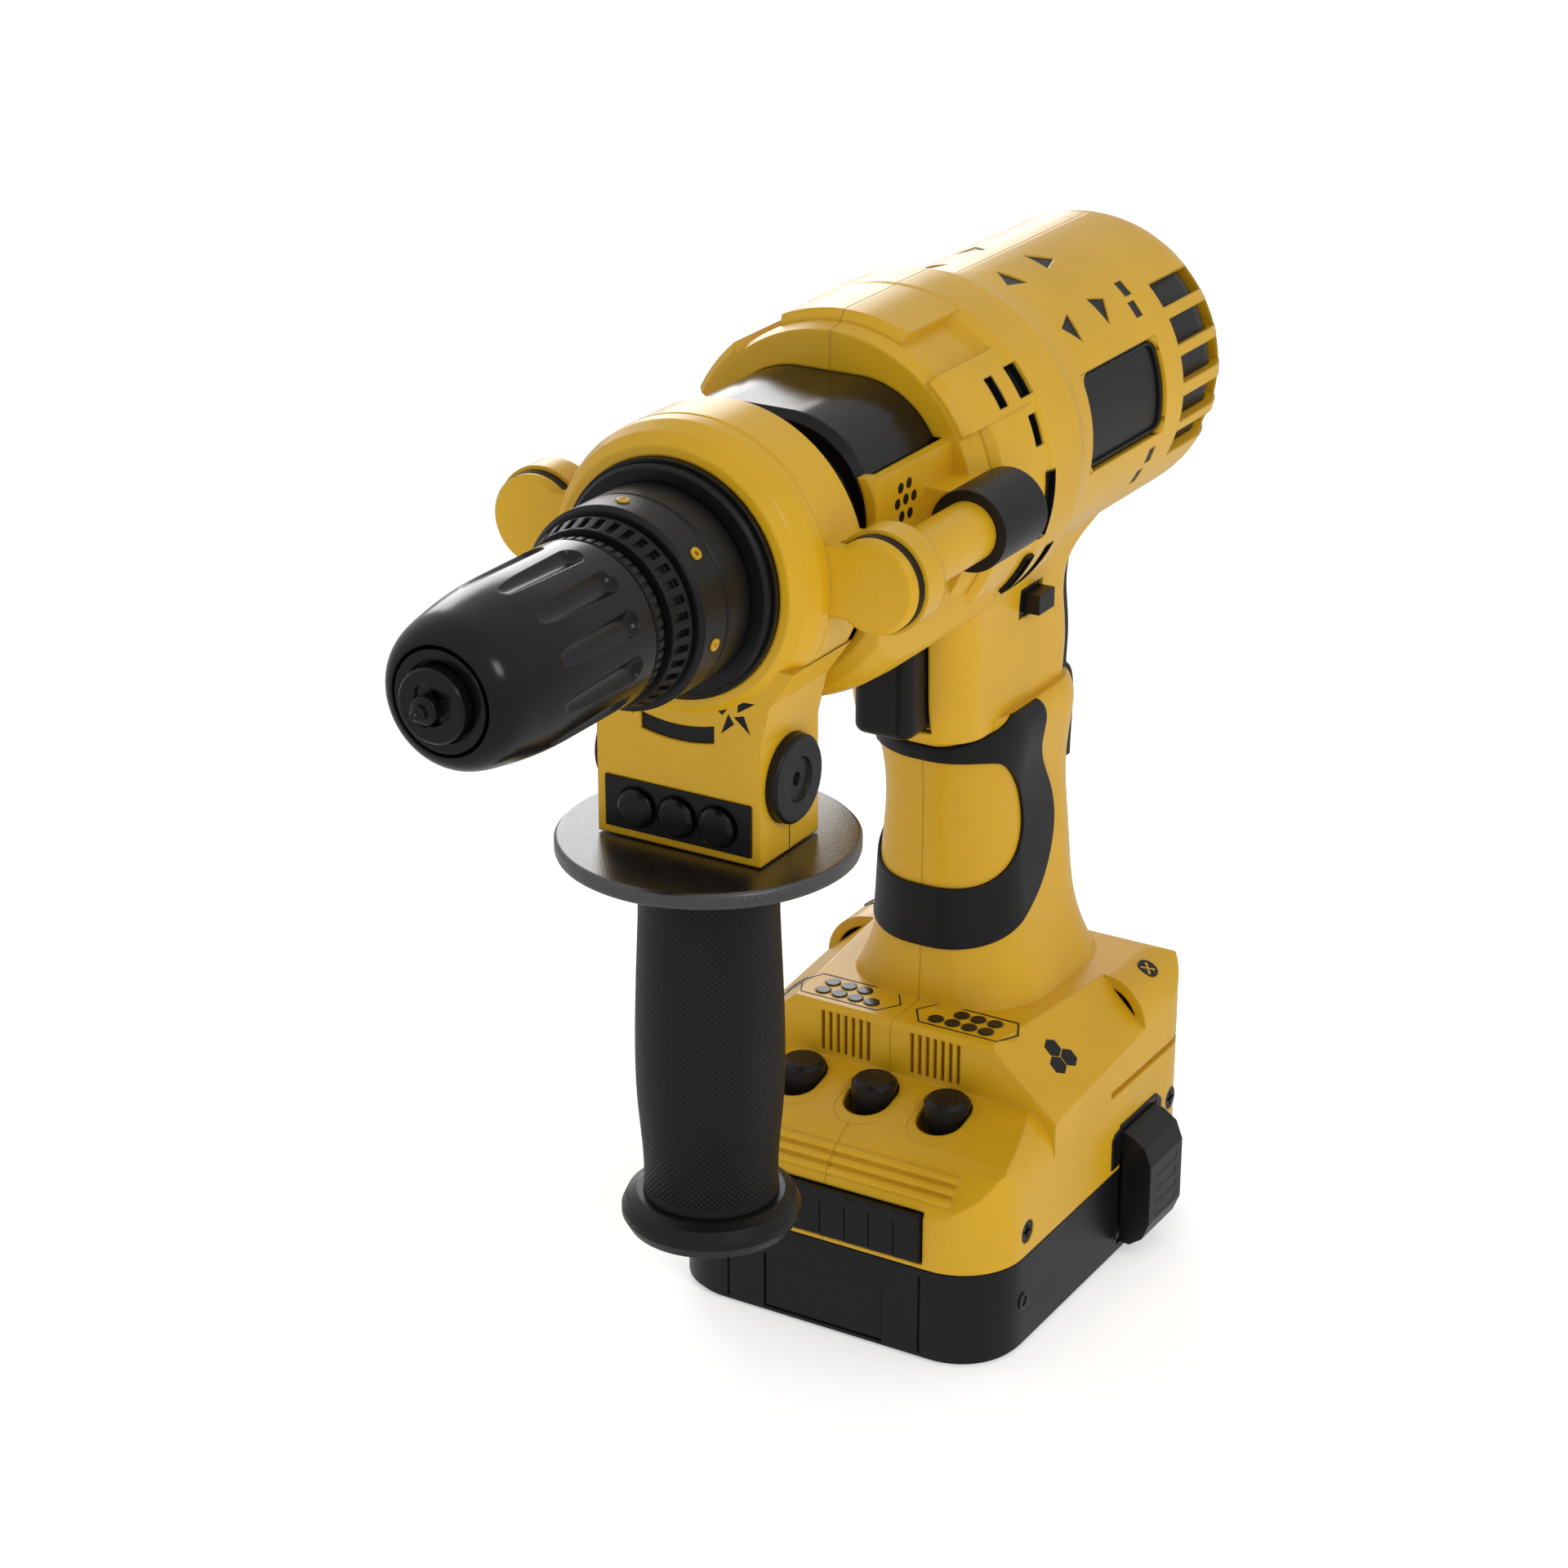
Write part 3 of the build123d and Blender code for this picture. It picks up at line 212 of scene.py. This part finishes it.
YELLOW = (0.66, 0.375, 0.010)
LOOKS = {
    "yellow_plastic": moulded("yellow_plastic", YELLOW, 0.29, 2600, 0.05, 0.0008, 0.05, 1.40),
    "black_plastic": moulded("black_plastic", (0.007, 0.007, 0.0075), 0.34, 2400, 0.12, 0.0005, ior=1.34),
    "gloss_black": moulded("gloss_black", (0.004, 0.004, 0.0044), 0.20, 900, 0.02, 0.0005, ior=1.36),
    "black_rubber": moulded("black_rubber", (0.007, 0.007, 0.0075), 0.42, 3000, 0.2, 0.0006, ior=1.35),
    "inner_plastic": moulded("inner_plastic", (0.52, 0.50, 0.44), 0.4, 2600, 0.10, 0.0003),
    "steel": turned_metal("steel", (0.56, 0.56, 0.57), 0.28),
    "black_steel": turned_metal("black_steel", (0.035, 0.035, 0.038), 0.35),
    "cell_wrap": moulded("cell_wrap", (0.05, 0.12, 0.30), 0.3, 1800, 0.05, 0.0004),
    "brass": turned_metal("brass", (0.78, 0.57, 0.25), 0.25),
    "board": moulded("board", (0.02, 0.15, 0.05), 0.4, 1800, 0.08, 0.0002),
}
OWN_LOOK = {
    "side_grip": knurled_rubber("grip_rubber", (0.007, 0.007, 0.0075), 0.42),
    "guard_flange": moulded("guard_lacquer", (0.006, 0.006, 0.0065), 0.26, 2600, 0.22, 0.0006, ior=2.0),
    "chuck_jaw_1": moulded("jaw_black", (0.006, 0.006, 0.0065), 0.3, 1200, 0.05, 0.0004, ior=1.36),
}

OWN_LOOK["chuck_jaw_2"] = OWN_LOOK["chuck_jaw_3"] = OWN_LOOK["chuck_jaw_1"]

SLOT_OF = {part["node"]: part["material_slot"] for part in frame["record"]["subparts"]}
for name, obj in frame["nodes"].items():
    if not obj.material_slots:
        obj.data.materials.append(None)
    for place_for in obj.material_slots:
        place_for.link = "OBJECT"
        place_for.material = OWN_LOOK.get(name, LOOKS[SLOT_OF[name]]).material


# ---------------------------------------------------------------- small pieces that ride on the bodies
def add(name, points, faces, slot, body):
    """A mesh from points in millimetres, its normals set outwards, riding on a body."""
    mesh = bpy.data.meshes.new(name)
    mesh.from_pydata([Vector(p) * MM for p in points], [], faces)
    work = bmesh.new()
    work.from_mesh(mesh)
    bmesh.ops.recalc_face_normals(work, faces=work.faces)
    work.to_mesh(mesh)
    work.free()
    mesh.materials.append(LOOKS[slot].material)
    obj = bpy.data.objects.new(name, mesh)
    bpy.context.scene.collection.objects.link(obj)
    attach(obj, body)
    return obj


def shrink(outline, amount):
    """The outline moved towards its middle by about that amount."""
    cu = sum(u for u, v in outline) / len(outline)
    cv = sum(v for u, v in outline) / len(outline)
    reach = max(hypot(u - cu, v - cv) for u, v in outline)
    k = 1 - amount / reach
    return [(cu + (u - cu) * k, cv + (v - cv) * k) for u, v in outline]


def plates(name, outlines, at, low, high, bevel, slot, body):
    """Thin plates with softened rims.  at(u, v, h) places a point of the outline at height h."""
    points, faces = [], []
    for outline in outlines:
        n, start = len(outline), len(points)
        for loop, h in ((outline, low), (outline, high - bevel), (shrink(outline, bevel), high)):
            points += [at(u, v, h) for u, v in loop]
        for ring in (0, 1):
            for k in range(n):
                a, b = start + ring * n + k, start + ring * n + (k + 1) % n
                faces.append((a, b, b + n, a + n))
        faces.append(tuple(range(start + 2 * n, start + 3 * n)))
        faces.append(tuple(reversed(range(start, start + n))))
    return add(name, points, faces, slot, body)


def bands(name, lines, width, at, low, high, slot, body, closed=True):
    """Narrow bands along polylines, mitred at the corners."""
    points, faces = [], []
    for line in lines:
        n, start = len(line), len(points)
        for k, (u, v) in enumerate(line):
            before = line[k - 1] if closed or k else line[k]
            after = line[(k + 1) % n] if closed or k < n - 1 else line[k]
            d = Vector((after[0] - before[0], after[1] - before[1])).normalized()
            seg = Vector((u - before[0], v - before[1]))
            seg = seg.normalized() if seg.length > 1e-9 else d
            side = Vector((-d.y, d.x)) * (width / 2 / max(0.4, d.dot(seg)))
            for s, h in ((-1, low), (-1, high), (1, high), (1, low)):
                points.append(at(u + side.x * s, v + side.y * s, h))
        for k in range(n if closed else n - 1):
            a, b = start + 4 * k, start + 4 * ((k + 1) % n)
            faces += [(a + i, a + (i + 1) % 4, b + (i + 1) % 4, b + i) for i in range(4)]
        if not closed:
            faces += [(start, start + 1, start + 2, start + 3)]
            faces += [tuple(start + 4 * (n - 1) + i for i in (3, 2, 1, 0))]
    return add(name, points, faces, slot, body)


def trays(name, outlines, at, top, floor, wall, slot, body):
    """Open trays that line a cut-out: a thin wall down from the rim and a closed floor."""
    points, faces = [], []
    for outline in outlines:
        n, start = len(outline), len(points)
        inner = shrink(outline, wall)
        for loop, h in ((outline, floor - wall), (outline, top), (inner, top - 0.05), (inner, floor)):
            points += [at(u, v, h) for u, v in loop]
        for ring in range(3):
            for k in range(n):
                a, b = start + ring * n + k, start + ring * n + (k + 1) % n
                faces.append((a, b, b + n, a + n))
        faces.append(tuple(range(start + 3 * n, start + 4 * n)))
        faces.append(tuple(reversed(range(start, start + n))))
    return add(name, points, faces, slot, body)


def collars(name, pairs, at, low, high, slot, body):
    """Flat rings between an outer and an inner outline that have the same number of points."""
    points, faces = [], []
    for outer, inner in pairs:
        n, start = len(outer), len(points)
        for outline, h in ((outer, low), (outer, high), (inner, high), (inner, low)):
            points += [at(u, v, h) for u, v in outline]
        for loop in range(4):
            for k in range(n):
                a, b = loop * n + k, loop * n + (k + 1) % n
                up = n if loop < 3 else -3 * n
                faces.append((start + a, start + b, start + b + up, start + a + up))
    return add(name, points, faces, slot, body)


def lathe(name, profile, y, slot, body, sides=128):
    """Closed profile of r and z turned about the upright line at that y."""
    n = len(profile)
    turns = [2 * pi * k / sides for k in range(sides)]
    points = [(r * cos(a), y + r * sin(a), z) for a in turns for r, z in profile]
    faces = []
    for k in range(sides):
        near, far = k * n, (k + 1) % sides * n
        faces += [(near + i, near + (i + 1) % n, far + (i + 1) % n, far + i) for i in range(n)]
    return add(name, points, faces, slot, body)


def spring(name, r, wire, y0, y1, turns, z, slot, body):
    """Coil of round wire along Y."""
    around, sides = 24, 8
    steps = around * turns
    points, faces = [], []
    for k in range(steps + 1):
        a, y = 2 * pi * k / around, y0 + wire + (y1 - y0 - 2 * wire) * k / steps
        for j in range(sides):
            b = 2 * pi * j / sides
            reach = r + wire * cos(b)
            points.append((reach * cos(a), y + wire * sin(b), z + reach * sin(a)))
    for k in range(steps):
        for j in range(sides):
            a, b = k * sides + j, k * sides + (j + 1) % sides
            faces.append((a, b, b + sides, a + sides))
    faces += [tuple(range(sides)), tuple(range(steps * sides, (steps + 1) * sides))]
    return add(name, points, faces, slot, body)


def rounded_box(cu, cv, half_u, half_v, r, steps=3, along=1):
    """Rounded rectangle outline; its long sides get extra points so that it can bend."""
    out = []
    for su, sv, first in ((1, 1, 0), (-1, 1, 90), (-1, -1, 180), (1, -1, 270)):
        for k in range(steps + 1):
            a = radians(first + 90 * k / steps)
            out.append((cu + su * (half_u - r) + r * cos(a), cv + sv * (half_v - r) + r * sin(a)))
    if along > 1:
        bent = []
        for k, (u, v) in enumerate(out):
            bent.append((u, v))
            nu, nv = out[(k + 1) % len(out)]
            if abs(nu - u) > 2 * half_u - 2 * r - 1e-6 and half_u > r:
                bent += [(u + (nu - u) * j / along, v + (nv - v) * j / along) for j in range(1, along)]
        out = bent
    return out


def disc(cu, cv, r, sides=20, start=0.0):
    return [(cu + r * cos(start + 2 * pi * k / sides), cv + r * sin(start + 2 * pi * k / sides))
            for k in range(sides)]


def on_barrel(side, r):
    """u is an angle in degrees round the barrel, v the place along it."""
    def at(u, v, h):
        a = radians(u)
        return (side * (r + h) * cos(a), v, SHELL_Z + (r + h) * sin(a))
    return at


def on_side(x, side=1):
    """u is y and v is z on the plane at that x."""
    return lambda u, v, h: (side * (x + h), u, v)


def on_front(y, side=1):
    """u is x and v is z on the plane at that y, facing the front."""
    return lambda u, v, h: (side * u, y - h, v)


def on_top(z, side=1):
    return lambda u, v, h: (side * u, v, z + h)


def on_plane(origin, u_dir, normal, side=1):
    """Plane through origin; u runs along u_dir and v at right angles to it."""
    o, n = Vector(origin), Vector(normal).normalized()
    x = Vector(u_dir).normalized()
    y = n.cross(x)

    def at(u, v, h):
        p = o + x * u + y * v + n * h
        return (side * p.x, p.y, p.z)
    return at


BOTH = ((1, "right"), (-1, "left"))

POCKET_R = 31.2                             # radius of the pocket floors in the barrel
DEGREES = 180 / pi / 32                     # degrees round the barrel to one millimetre
# corners of the decorative triangles on the barrel: angle, y
TRIANGLES = (((82, 23.6), (73, 28.3), (70, 22.3)), ((80, 9.7), (68, 11.5), (71, 5.4)),
             ((51, 22.2), (48, 27.9), (38, 23.6)), ((49, 11.9), (45, 6.4), (37, 10.5)))
SQUARES = ((48.0, 37.2), (38.8, 36.3), (-20.5, 35.6), (-29.5, 33.6))
# angle, y, width in degrees and length of the slots round the thick collar, radius of the skin there
RING_SLOTS = ((35.3, -33.3, 11.5, 3.4, 34.9), (35.6, -24.3, 12.0, 4.4, 35.0), (18.5, -25.2, 11.0, 3.2, 35.0),
              (-8.0, -22.4, 24.0, 3.4, 35.9), (-38.0, -15.0, 24.0, 3.6, 35.9), (-34.5, -24.0, 17.0, 3.4, 36.3))
WINDOW = (-11.5, 26.5, 3.5, 38.5)           # angles and y of the side window
WINDOW_CORNER = 3.2                         # rounding of its corners
CHEEK_X = 27.4                              # flat cheek beside the gear case
CHEEK_HOLES = ((-69.4, 202.1), (-66.2, 202.3), (-64.2, 199.3), (-67.4, 199.4), (-70.6, 199.2),
               (-65.7, 196.2), (-68.9, 196.3))
FACET_NORMAL, FACET_POINT, FACET_U = (0.6575, -0.0715, 0.75), (24.5, -21.6, 62.5), (3.0, 27.6, 0.0)
FACET_HEXES = ((16.24, -7.44), (18.6, -11.1), (14.3, -11.2))
DECK_HEXAGON = ((2.0, -13.3), (5.3, -18.4), (24.4, -18.4), (27.0, -13.3), (24.4, -8.2), (5.3, -8.2))
CORNER_ROUND = 10.0                         # rounding of the base cover's long upper edges
CORNER_X, CORNER_Y, CORNER_AXIS_X = 35.4, 33.7, 30.7   # mark on that rounding, and the rounding's axis
KNOB_PITCH, KNOB_Y = 18.0, -28.3            # places of the knobs on the lower deck
KNOB_SURFACE_Z = 48.6                       # height of the sloping deck at the knobs
KNOB_SLOPE_RISE, KNOB_SLOPE_RUN = 4.7, 18.6
STAR_X, STAR_Z = 12.3, 166.0
BLOCK_SIDE_X = 18.3                         # side of the clamp block
SIDE_MARK = (-34.7, 11.7)                   # y, z of the screw low on the battery's side


def barrel_inlays(side, word):
    """Black triangles and squares let into the barrel."""
    at = on_barrel(side, POCKET_R)
    triangles = [shrink(corners, 0.5) for corners in TRIANGLES]
    plates(f"triangle_inlays_{word}", triangles, at, -0.1, 0.62, 0.08, "black_plastic", "drill")
    squares = [rounded_box(a, y, 1.9 * DEGREES, 1.5, 0.25) for a, y in SQUARES]
    plates(f"square_inlays_{word}", squares, at, 0.0, 0.66, 0.1, "black_plastic", "drill")


def slot_liners(side, word):
    """Black linings of the slots round the thick collar."""
    for k, (a, y, wide, long, r) in enumerate(RING_SLOTS):
        outline = rounded_box(a, y, wide / 2 - 0.1, long / 2 - 0.05, 0.5, 3, 6)
        at = on_barrel(side, r)
        trays(f"slot_liner_{word}_{k + 1}", [outline], at, -0.12, -1.9, 0.3, "black_plastic", "drill")


def window(side, word):
    """Rounded corners of the side window, and the rim round its panel."""
    a0, a1, y0, y1 = WINDOW
    r = WINDOW_CORNER
    corners = []
    for u, v, su, sv in ((a0, y0, 1, 1), (a1, y0, -1, 1), (a1, y1, -1, -1), (a0, y1, 1, -1)):
        turns = [radians(k) for k in range(0, 91, 15)]
        arc = [(u + su * (r - r * sin(a)) * DEGREES, v + sv * (r - r * cos(a))) for a in turns]
        corners.append([(u, v)] + arc)
    at = on_barrel(side, 29.2)
    plates(f"window_corners_{word}", corners, at, 0.0, 2.75, 0.02, "yellow_plastic", "drill")
    half_a, half_y = (a1 - a0) / 2 - 0.9 * DEGREES, (y1 - y0) / 2 - 0.9
    rim = rounded_box((a0 + a1) / 2, (y0 + y1) / 2, half_a, half_y, 3.0, 5, 8)
    bands(f"window_rim_{word}", [rim], 1.3, on_barrel(side, 30.3), 0.0, 0.9, "black_plastic", "drill")


def deck_marks(side, word):
    """Outline round the discs on the upper deck, and the hexagons on the corner facet."""
    at = on_top(DECK_Z, side)
    bands(f"deck_outline_{word}", [DECK_HEXAGON], 0.42, at, -0.1, 0.03, "black_plastic", "drill")
    at = on_plane(FACET_POINT, FACET_U, FACET_NORMAL, side)
    hexes = [disc(u, v, 2.35, 6, pi / 6) for u, v in FACET_HEXES]
    plates(f"facet_hexes_{word}", hexes, at, -0.1, 0.06, 0.03, "black_plastic", "drill")


def corner_mark(side, word):
    """Crossed ring on the base cover's rounded upper edge."""
    lean = CORNER_X - CORNER_AXIS_X
    rise = sqrt(CORNER_ROUND ** 2 - lean ** 2)
    spot = (CORNER_X, CORNER_Y, DECK_Z - CORNER_ROUND + rise)
    at = on_plane(spot, (0, 1, 0), (lean, 0, rise), side)
    bands(f"corner_ring_{word}", [disc(0, 0, 2.3, 24)], 0.5, at, -0.2, 0.08, "black_plastic", "drill")
    quarters = []
    for k in range(4):
        a = k * pi / 2
        quarters.append([(r * cos(a + turn), r * sin(a + turn))
                         for r, turn in ((0.35, 0.0), (1.95, -0.55), (2.1, 0.0), (1.95, 0.55))])
    plates(f"corner_cross_{word}", quarters, at, -0.2, 0.07, 0.02, "black_plastic", "drill")


def clip_seat(side, word):
    """Black ears and shelf on the base cover round a side clip."""
    at = on_side(SIDE_X, side)
    ears = [[(7.0, 23.6), (11.2, 23.6), (11.2, 32.6), (8.4, 32.2), (7.0, 30.9)],
            [(28.8, 23.6), (34.6, 23.6), (31.7, 26.4), (31.7, 31.0), (30.0, 32.6), (28.8, 32.6)]]
    plates(f"clip_ears_{word}", ears, at, -0.3, 0.35, 0.1, "black_plastic", "drill")
    shelf = [(10.9, 31.95), (29.1, 31.95), (29.1, 33.3), (10.9, 33.3)]
    plates(f"clip_shelf_{word}", [shelf], at, -1.2, 0.35, 0.1, "black_plastic", "drill")


def block_marks(side, word):
    """Star on the clamp block's front and the short line on its side."""
    star = []
    for k in range(5):
        a = pi / 2 + 2 * pi * k / 5 + 0.15
        star.append([(STAR_X + reach * cos(a + turn), STAR_Z + reach * sin(a + turn))
                     for reach, turn in ((1.1, -0.5), (5.5, 0.0), (2.5, 0.62))])
    at = on_front(BLOCK_FRONT, side)
    plates(f"star_inlay_{word}", star, at, -0.1, 0.05, 0.02, "black_plastic", "front_handle")
    line = [(GRIP_Y, 135.6), (GRIP_Y, 141.2)]
    bands(f"block_line_{word}", [line], 0.3, on_side(BLOCK_SIDE_X, side), -0.1, 0.02,
          "black_plastic", "front_handle", closed=False)


def cheek_holes(side, word):
    """Group of small round holes in the cheek beside the gear case."""
    holes = [disc(y, z, 1.1, 18) for y, z in CHEEK_HOLES]
    plates(f"cheek_holes_{word}", holes, on_side(CHEEK_X, side), -0.1, 0.03, 0.02, "black_plastic", "drill")


def grip_leaves(side, word):
    """Three-leaf mark on the soft grip."""
    at = on_plane((17.1, 3.7, 123.8), (0.171, 0.985, 0), (0.985, -0.171, 0), side)
    leaves = []
    for k in range(3):
        a = pi / 2 + 2 * pi * k / 3
        leaf = []
        for j in range(12):
            b = 2 * pi * j / 12
            along, across = 1.25 + 1.05 * cos(b), 0.75 * sin(b)
            leaf.append((along * cos(a) - across * sin(a), along * sin(a) + across * cos(a)))
        leaves.append(leaf)
    plates(f"grip_leaves_{word}", leaves, at, -0.25, 0.22, 0.12, "black_rubber", "drill")


def battery_side_screw(side, word):
    """Screw head low on the battery's side."""
    at = on_side(SIDE_X, side)
    ring, socket = disc(*SIDE_MARK, 1.6, 24), disc(*SIDE_MARK, 0.95, 6)
    bands(f"battery_side_ring_{word}", [ring], 0.7, at, -0.2, 0.28, "gloss_black", "battery_pack")
    plates(f"battery_side_hex_{word}", [socket], at, -0.2, 0.05, 0.03, "black_steel", "battery_pack")


def latch_fins():
    """Upright fins across the front latch, each leaning a little to one side."""
    count, pitch, half_width, low, high = 8, 6.0, 2.9, 24.1, 34.9
    face = -50.7
    for k in range(count):
        centre = (k - (count - 1) / 2) * pitch

        def at(u, v, h):
            lean = 0.07 * (centre - u) if h > 0 else 0.0
            return (u, face - h - lean, v)

        left, right = centre - half_width, centre + half_width
        outline = [(left, low), (right, low), (right, high), (left, high)]
        plates(f"latch_fin_{k + 1}", [outline], at, -0.3, 0.95, 0.3, "black_plastic", "latch")


def clip_pad(side, word):
    """Plain outer face of a side clip."""
    reach = abs(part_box(f"side_clip_{word}")[1 if side > 0 else 0][0]) / MM
    at = on_side(reach, side)
    outline = [(14.9, 10.3), (25.1, 10.3), (25.1, 22.5), (14.9, 22.5)]
    plates(f"clip_pad_{word}", [outline], at, -0.9, -0.03, 0.01, "black_plastic", f"clip_{word}")


def battery_front():
    """Plain plate in the shallow front recess of the battery case."""
    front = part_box("battery_case")[0][1] / MM
    outline = [(-14.6, 1.8), (14.6, 1.8), (14.6, 14.8), (-14.6, 14.8)]
    at = on_front(front)
    plates("battery_front_plate", [outline], at, -1.2, -0.35, 0.1, "black_plastic", "battery_pack")


def knob_seats():
    """Collars that close the scoops round the three knobs, open in front of each knob."""
    slope = atan2(KNOB_SLOPE_RISE, KNOB_SLOPE_RUN)
    for k in (-1, 0, 1):
        at = on_plane((k * KNOB_PITCH, KNOB_Y, KNOB_SURFACE_Z), (1, 0, 0), (0, -sin(slope), cos(slope)))
        outer = rounded_box(0, -2.6, 6.45, 9.0, 6.45, 8)
        inner = rounded_box(0, -1.45, 5.35, 7.05, 5.35, 8)
        collars(f"knob_seat_{k + 2}", [(outer, inner)], at, -1.3, 0.04, "yellow_plastic", "drill")


def guard_rim():
    """Rolled lip below the rim of the round guard."""
    profile = [(27.2, 132.9), (27.6, 131.9), (28.4, 131.4), (29.2, 131.4), (29.8, 131.8), (30.0, 132.4),
               (30.0, 134.0), (28.6, 134.2)]
    rim = lathe("guard_rim", profile, GRIP_Y, "gloss_black", "aux_grip")
    rim.data.materials[0] = OWN_LOOK["guard_flange"].material


def trigger_return():
    """Return spring behind the trigger, in place of the hidden trigger_spring part; it keeps one length and
    rides on the drill body.
    """
    start, end, height, travel = -8.9, -0.1, 141.0, 6.0
    coil = spring("trigger_return", 3.3, 0.3, start, end, 4, height, "steel", "drill")
    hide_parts("trigger_spring")
    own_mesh(coil)


def curved_slot():
    """Black floor of the curved slot under the chuck."""
    half_width = 8.1
    outline = []
    for r, turns in ((29.7, range(-16, 17, 2)), (32.9, range(16, -17, -2))):
        for turn in turns:
            x = max(-half_width, min(half_width, r * sin(radians(turn))))
            outline.append((x, AXIS_Z - sqrt(r * r - x * x)))
    at = on_front(BLOCK_FRONT)
    plates("curved_slot_floor", [outline], at, -1.05, -0.4, 0.05, "black_plastic", "front_handle")


for side, word in BOTH:
    for detail in (barrel_inlays, slot_liners, window, deck_marks, corner_mark, clip_seat, block_marks,
                   cheek_holes, grip_leaves, battery_side_screw, clip_pad):
        detail(side, word)
for detail in (curved_slot, latch_fins, battery_front, knob_seats, guard_rim, trigger_return):
    detail()


# ---------------------------------------------------------------- camera and studio
def area_light(name, where, aim, size, power, size_y=None):
    lamp = bpy.data.lights.new(name, "AREA")
    lamp.shape, lamp.size, lamp.size_y = "RECTANGLE", size, size_y or size
    lamp.energy = power
    holder = bpy.data.objects.new(name, lamp)
    bpy.context.scene.collection.objects.link(holder)
    holder.location = where
    holder.rotation_euler = (Vector(aim) - Vector(where)).to_track_quat("-Z", "Y").to_euler()
    return holder


def sky():
    """Soft studio surround: bright overhead, dimmer at the sides."""
    world = bpy.data.worlds.new("studio")
    world.use_nodes = True
    nodes, links = world.node_tree.nodes, world.node_tree.links
    back = nodes["Background"]
    coord = nodes.new("ShaderNodeTexCoord")
    split = nodes.new("ShaderNodeSeparateXYZ")
    ramp = nodes.new("ShaderNodeValToRGB")
    links.new(coord.outputs["Generated"], split.inputs[0])
    links.new(split.outputs[2], ramp.inputs[0])
    links.new(ramp.outputs[0], back.inputs[0])
    stops = ((0.0, 0.50), (0.35, 0.60), (0.8, 0.62))
    while len(ramp.color_ramp.elements) < len(stops):
        ramp.color_ramp.elements.new(0.5)
    for element, (where, level) in zip(ramp.color_ramp.elements, stops):
        element.position = where
        element.color = (level, level, level, 1)
    back.inputs[1].default_value = 1.15
    bpy.context.scene.world = world


def studio():
    mesh = bpy.data.meshes.new("floor")
    mesh.from_pydata([(-6, -6, 0), (6, -6, 0), (6, 6, 0), (-6, 6, 0)], [], [(0, 1, 2, 3)])
    floor = bpy.data.objects.new("floor", mesh)
    bpy.context.scene.collection.objects.link(floor)
    paper = Tree("floor_paper")
    paper.link(paper.ramp(paper.noise(6, 3), (0.3, (0.93, 0.93, 0.93)), (0.7, (0.95, 0.95, 0.95))),
               paper.shader.inputs["Base Color"])
    paper.shader.inputs["Roughness"].default_value = 0.9
    paper.shader.inputs["Specular IOR Level"].default_value = 0.0
    paper.shader.inputs["Emission Color"].default_value = (1, 1, 1, 1)
    paper.shader.inputs["Emission Strength"].default_value = 0.42
    mesh.materials.append(paper.material)
    floor.visible_glossy = False
    sky()
    area_light("rear_softbox", (-1.08, 1.28, 0.60), (0, 0, 0.17), 0.78, 7.5, 0.80)
    area_light("right_fill", (1.05, -0.5, 0.95), (0, 0, 0.12), 0.4, 3.2)
    bpy.context.scene.view_settings.view_transform = "Standard"


def camera():
    lens = bpy.data.cameras.new("camera")
    lens.lens, lens.sensor_width, lens.sensor_fit = 85, 36, "HORIZONTAL"
    holder = bpy.data.objects.new("camera", lens)
    bpy.context.scene.collection.objects.link(holder)
    holder.location = (0.3505, -0.6538, 0.42055)
    aim = Vector((0, -0.0666, 0.1346))
    holder.rotation_euler = (aim - holder.location).to_track_quat("-Z", "Y").to_euler()
    lens.clip_start, lens.clip_end = 0.02, 40
    bpy.context.scene.camera = holder


studio()
camera()
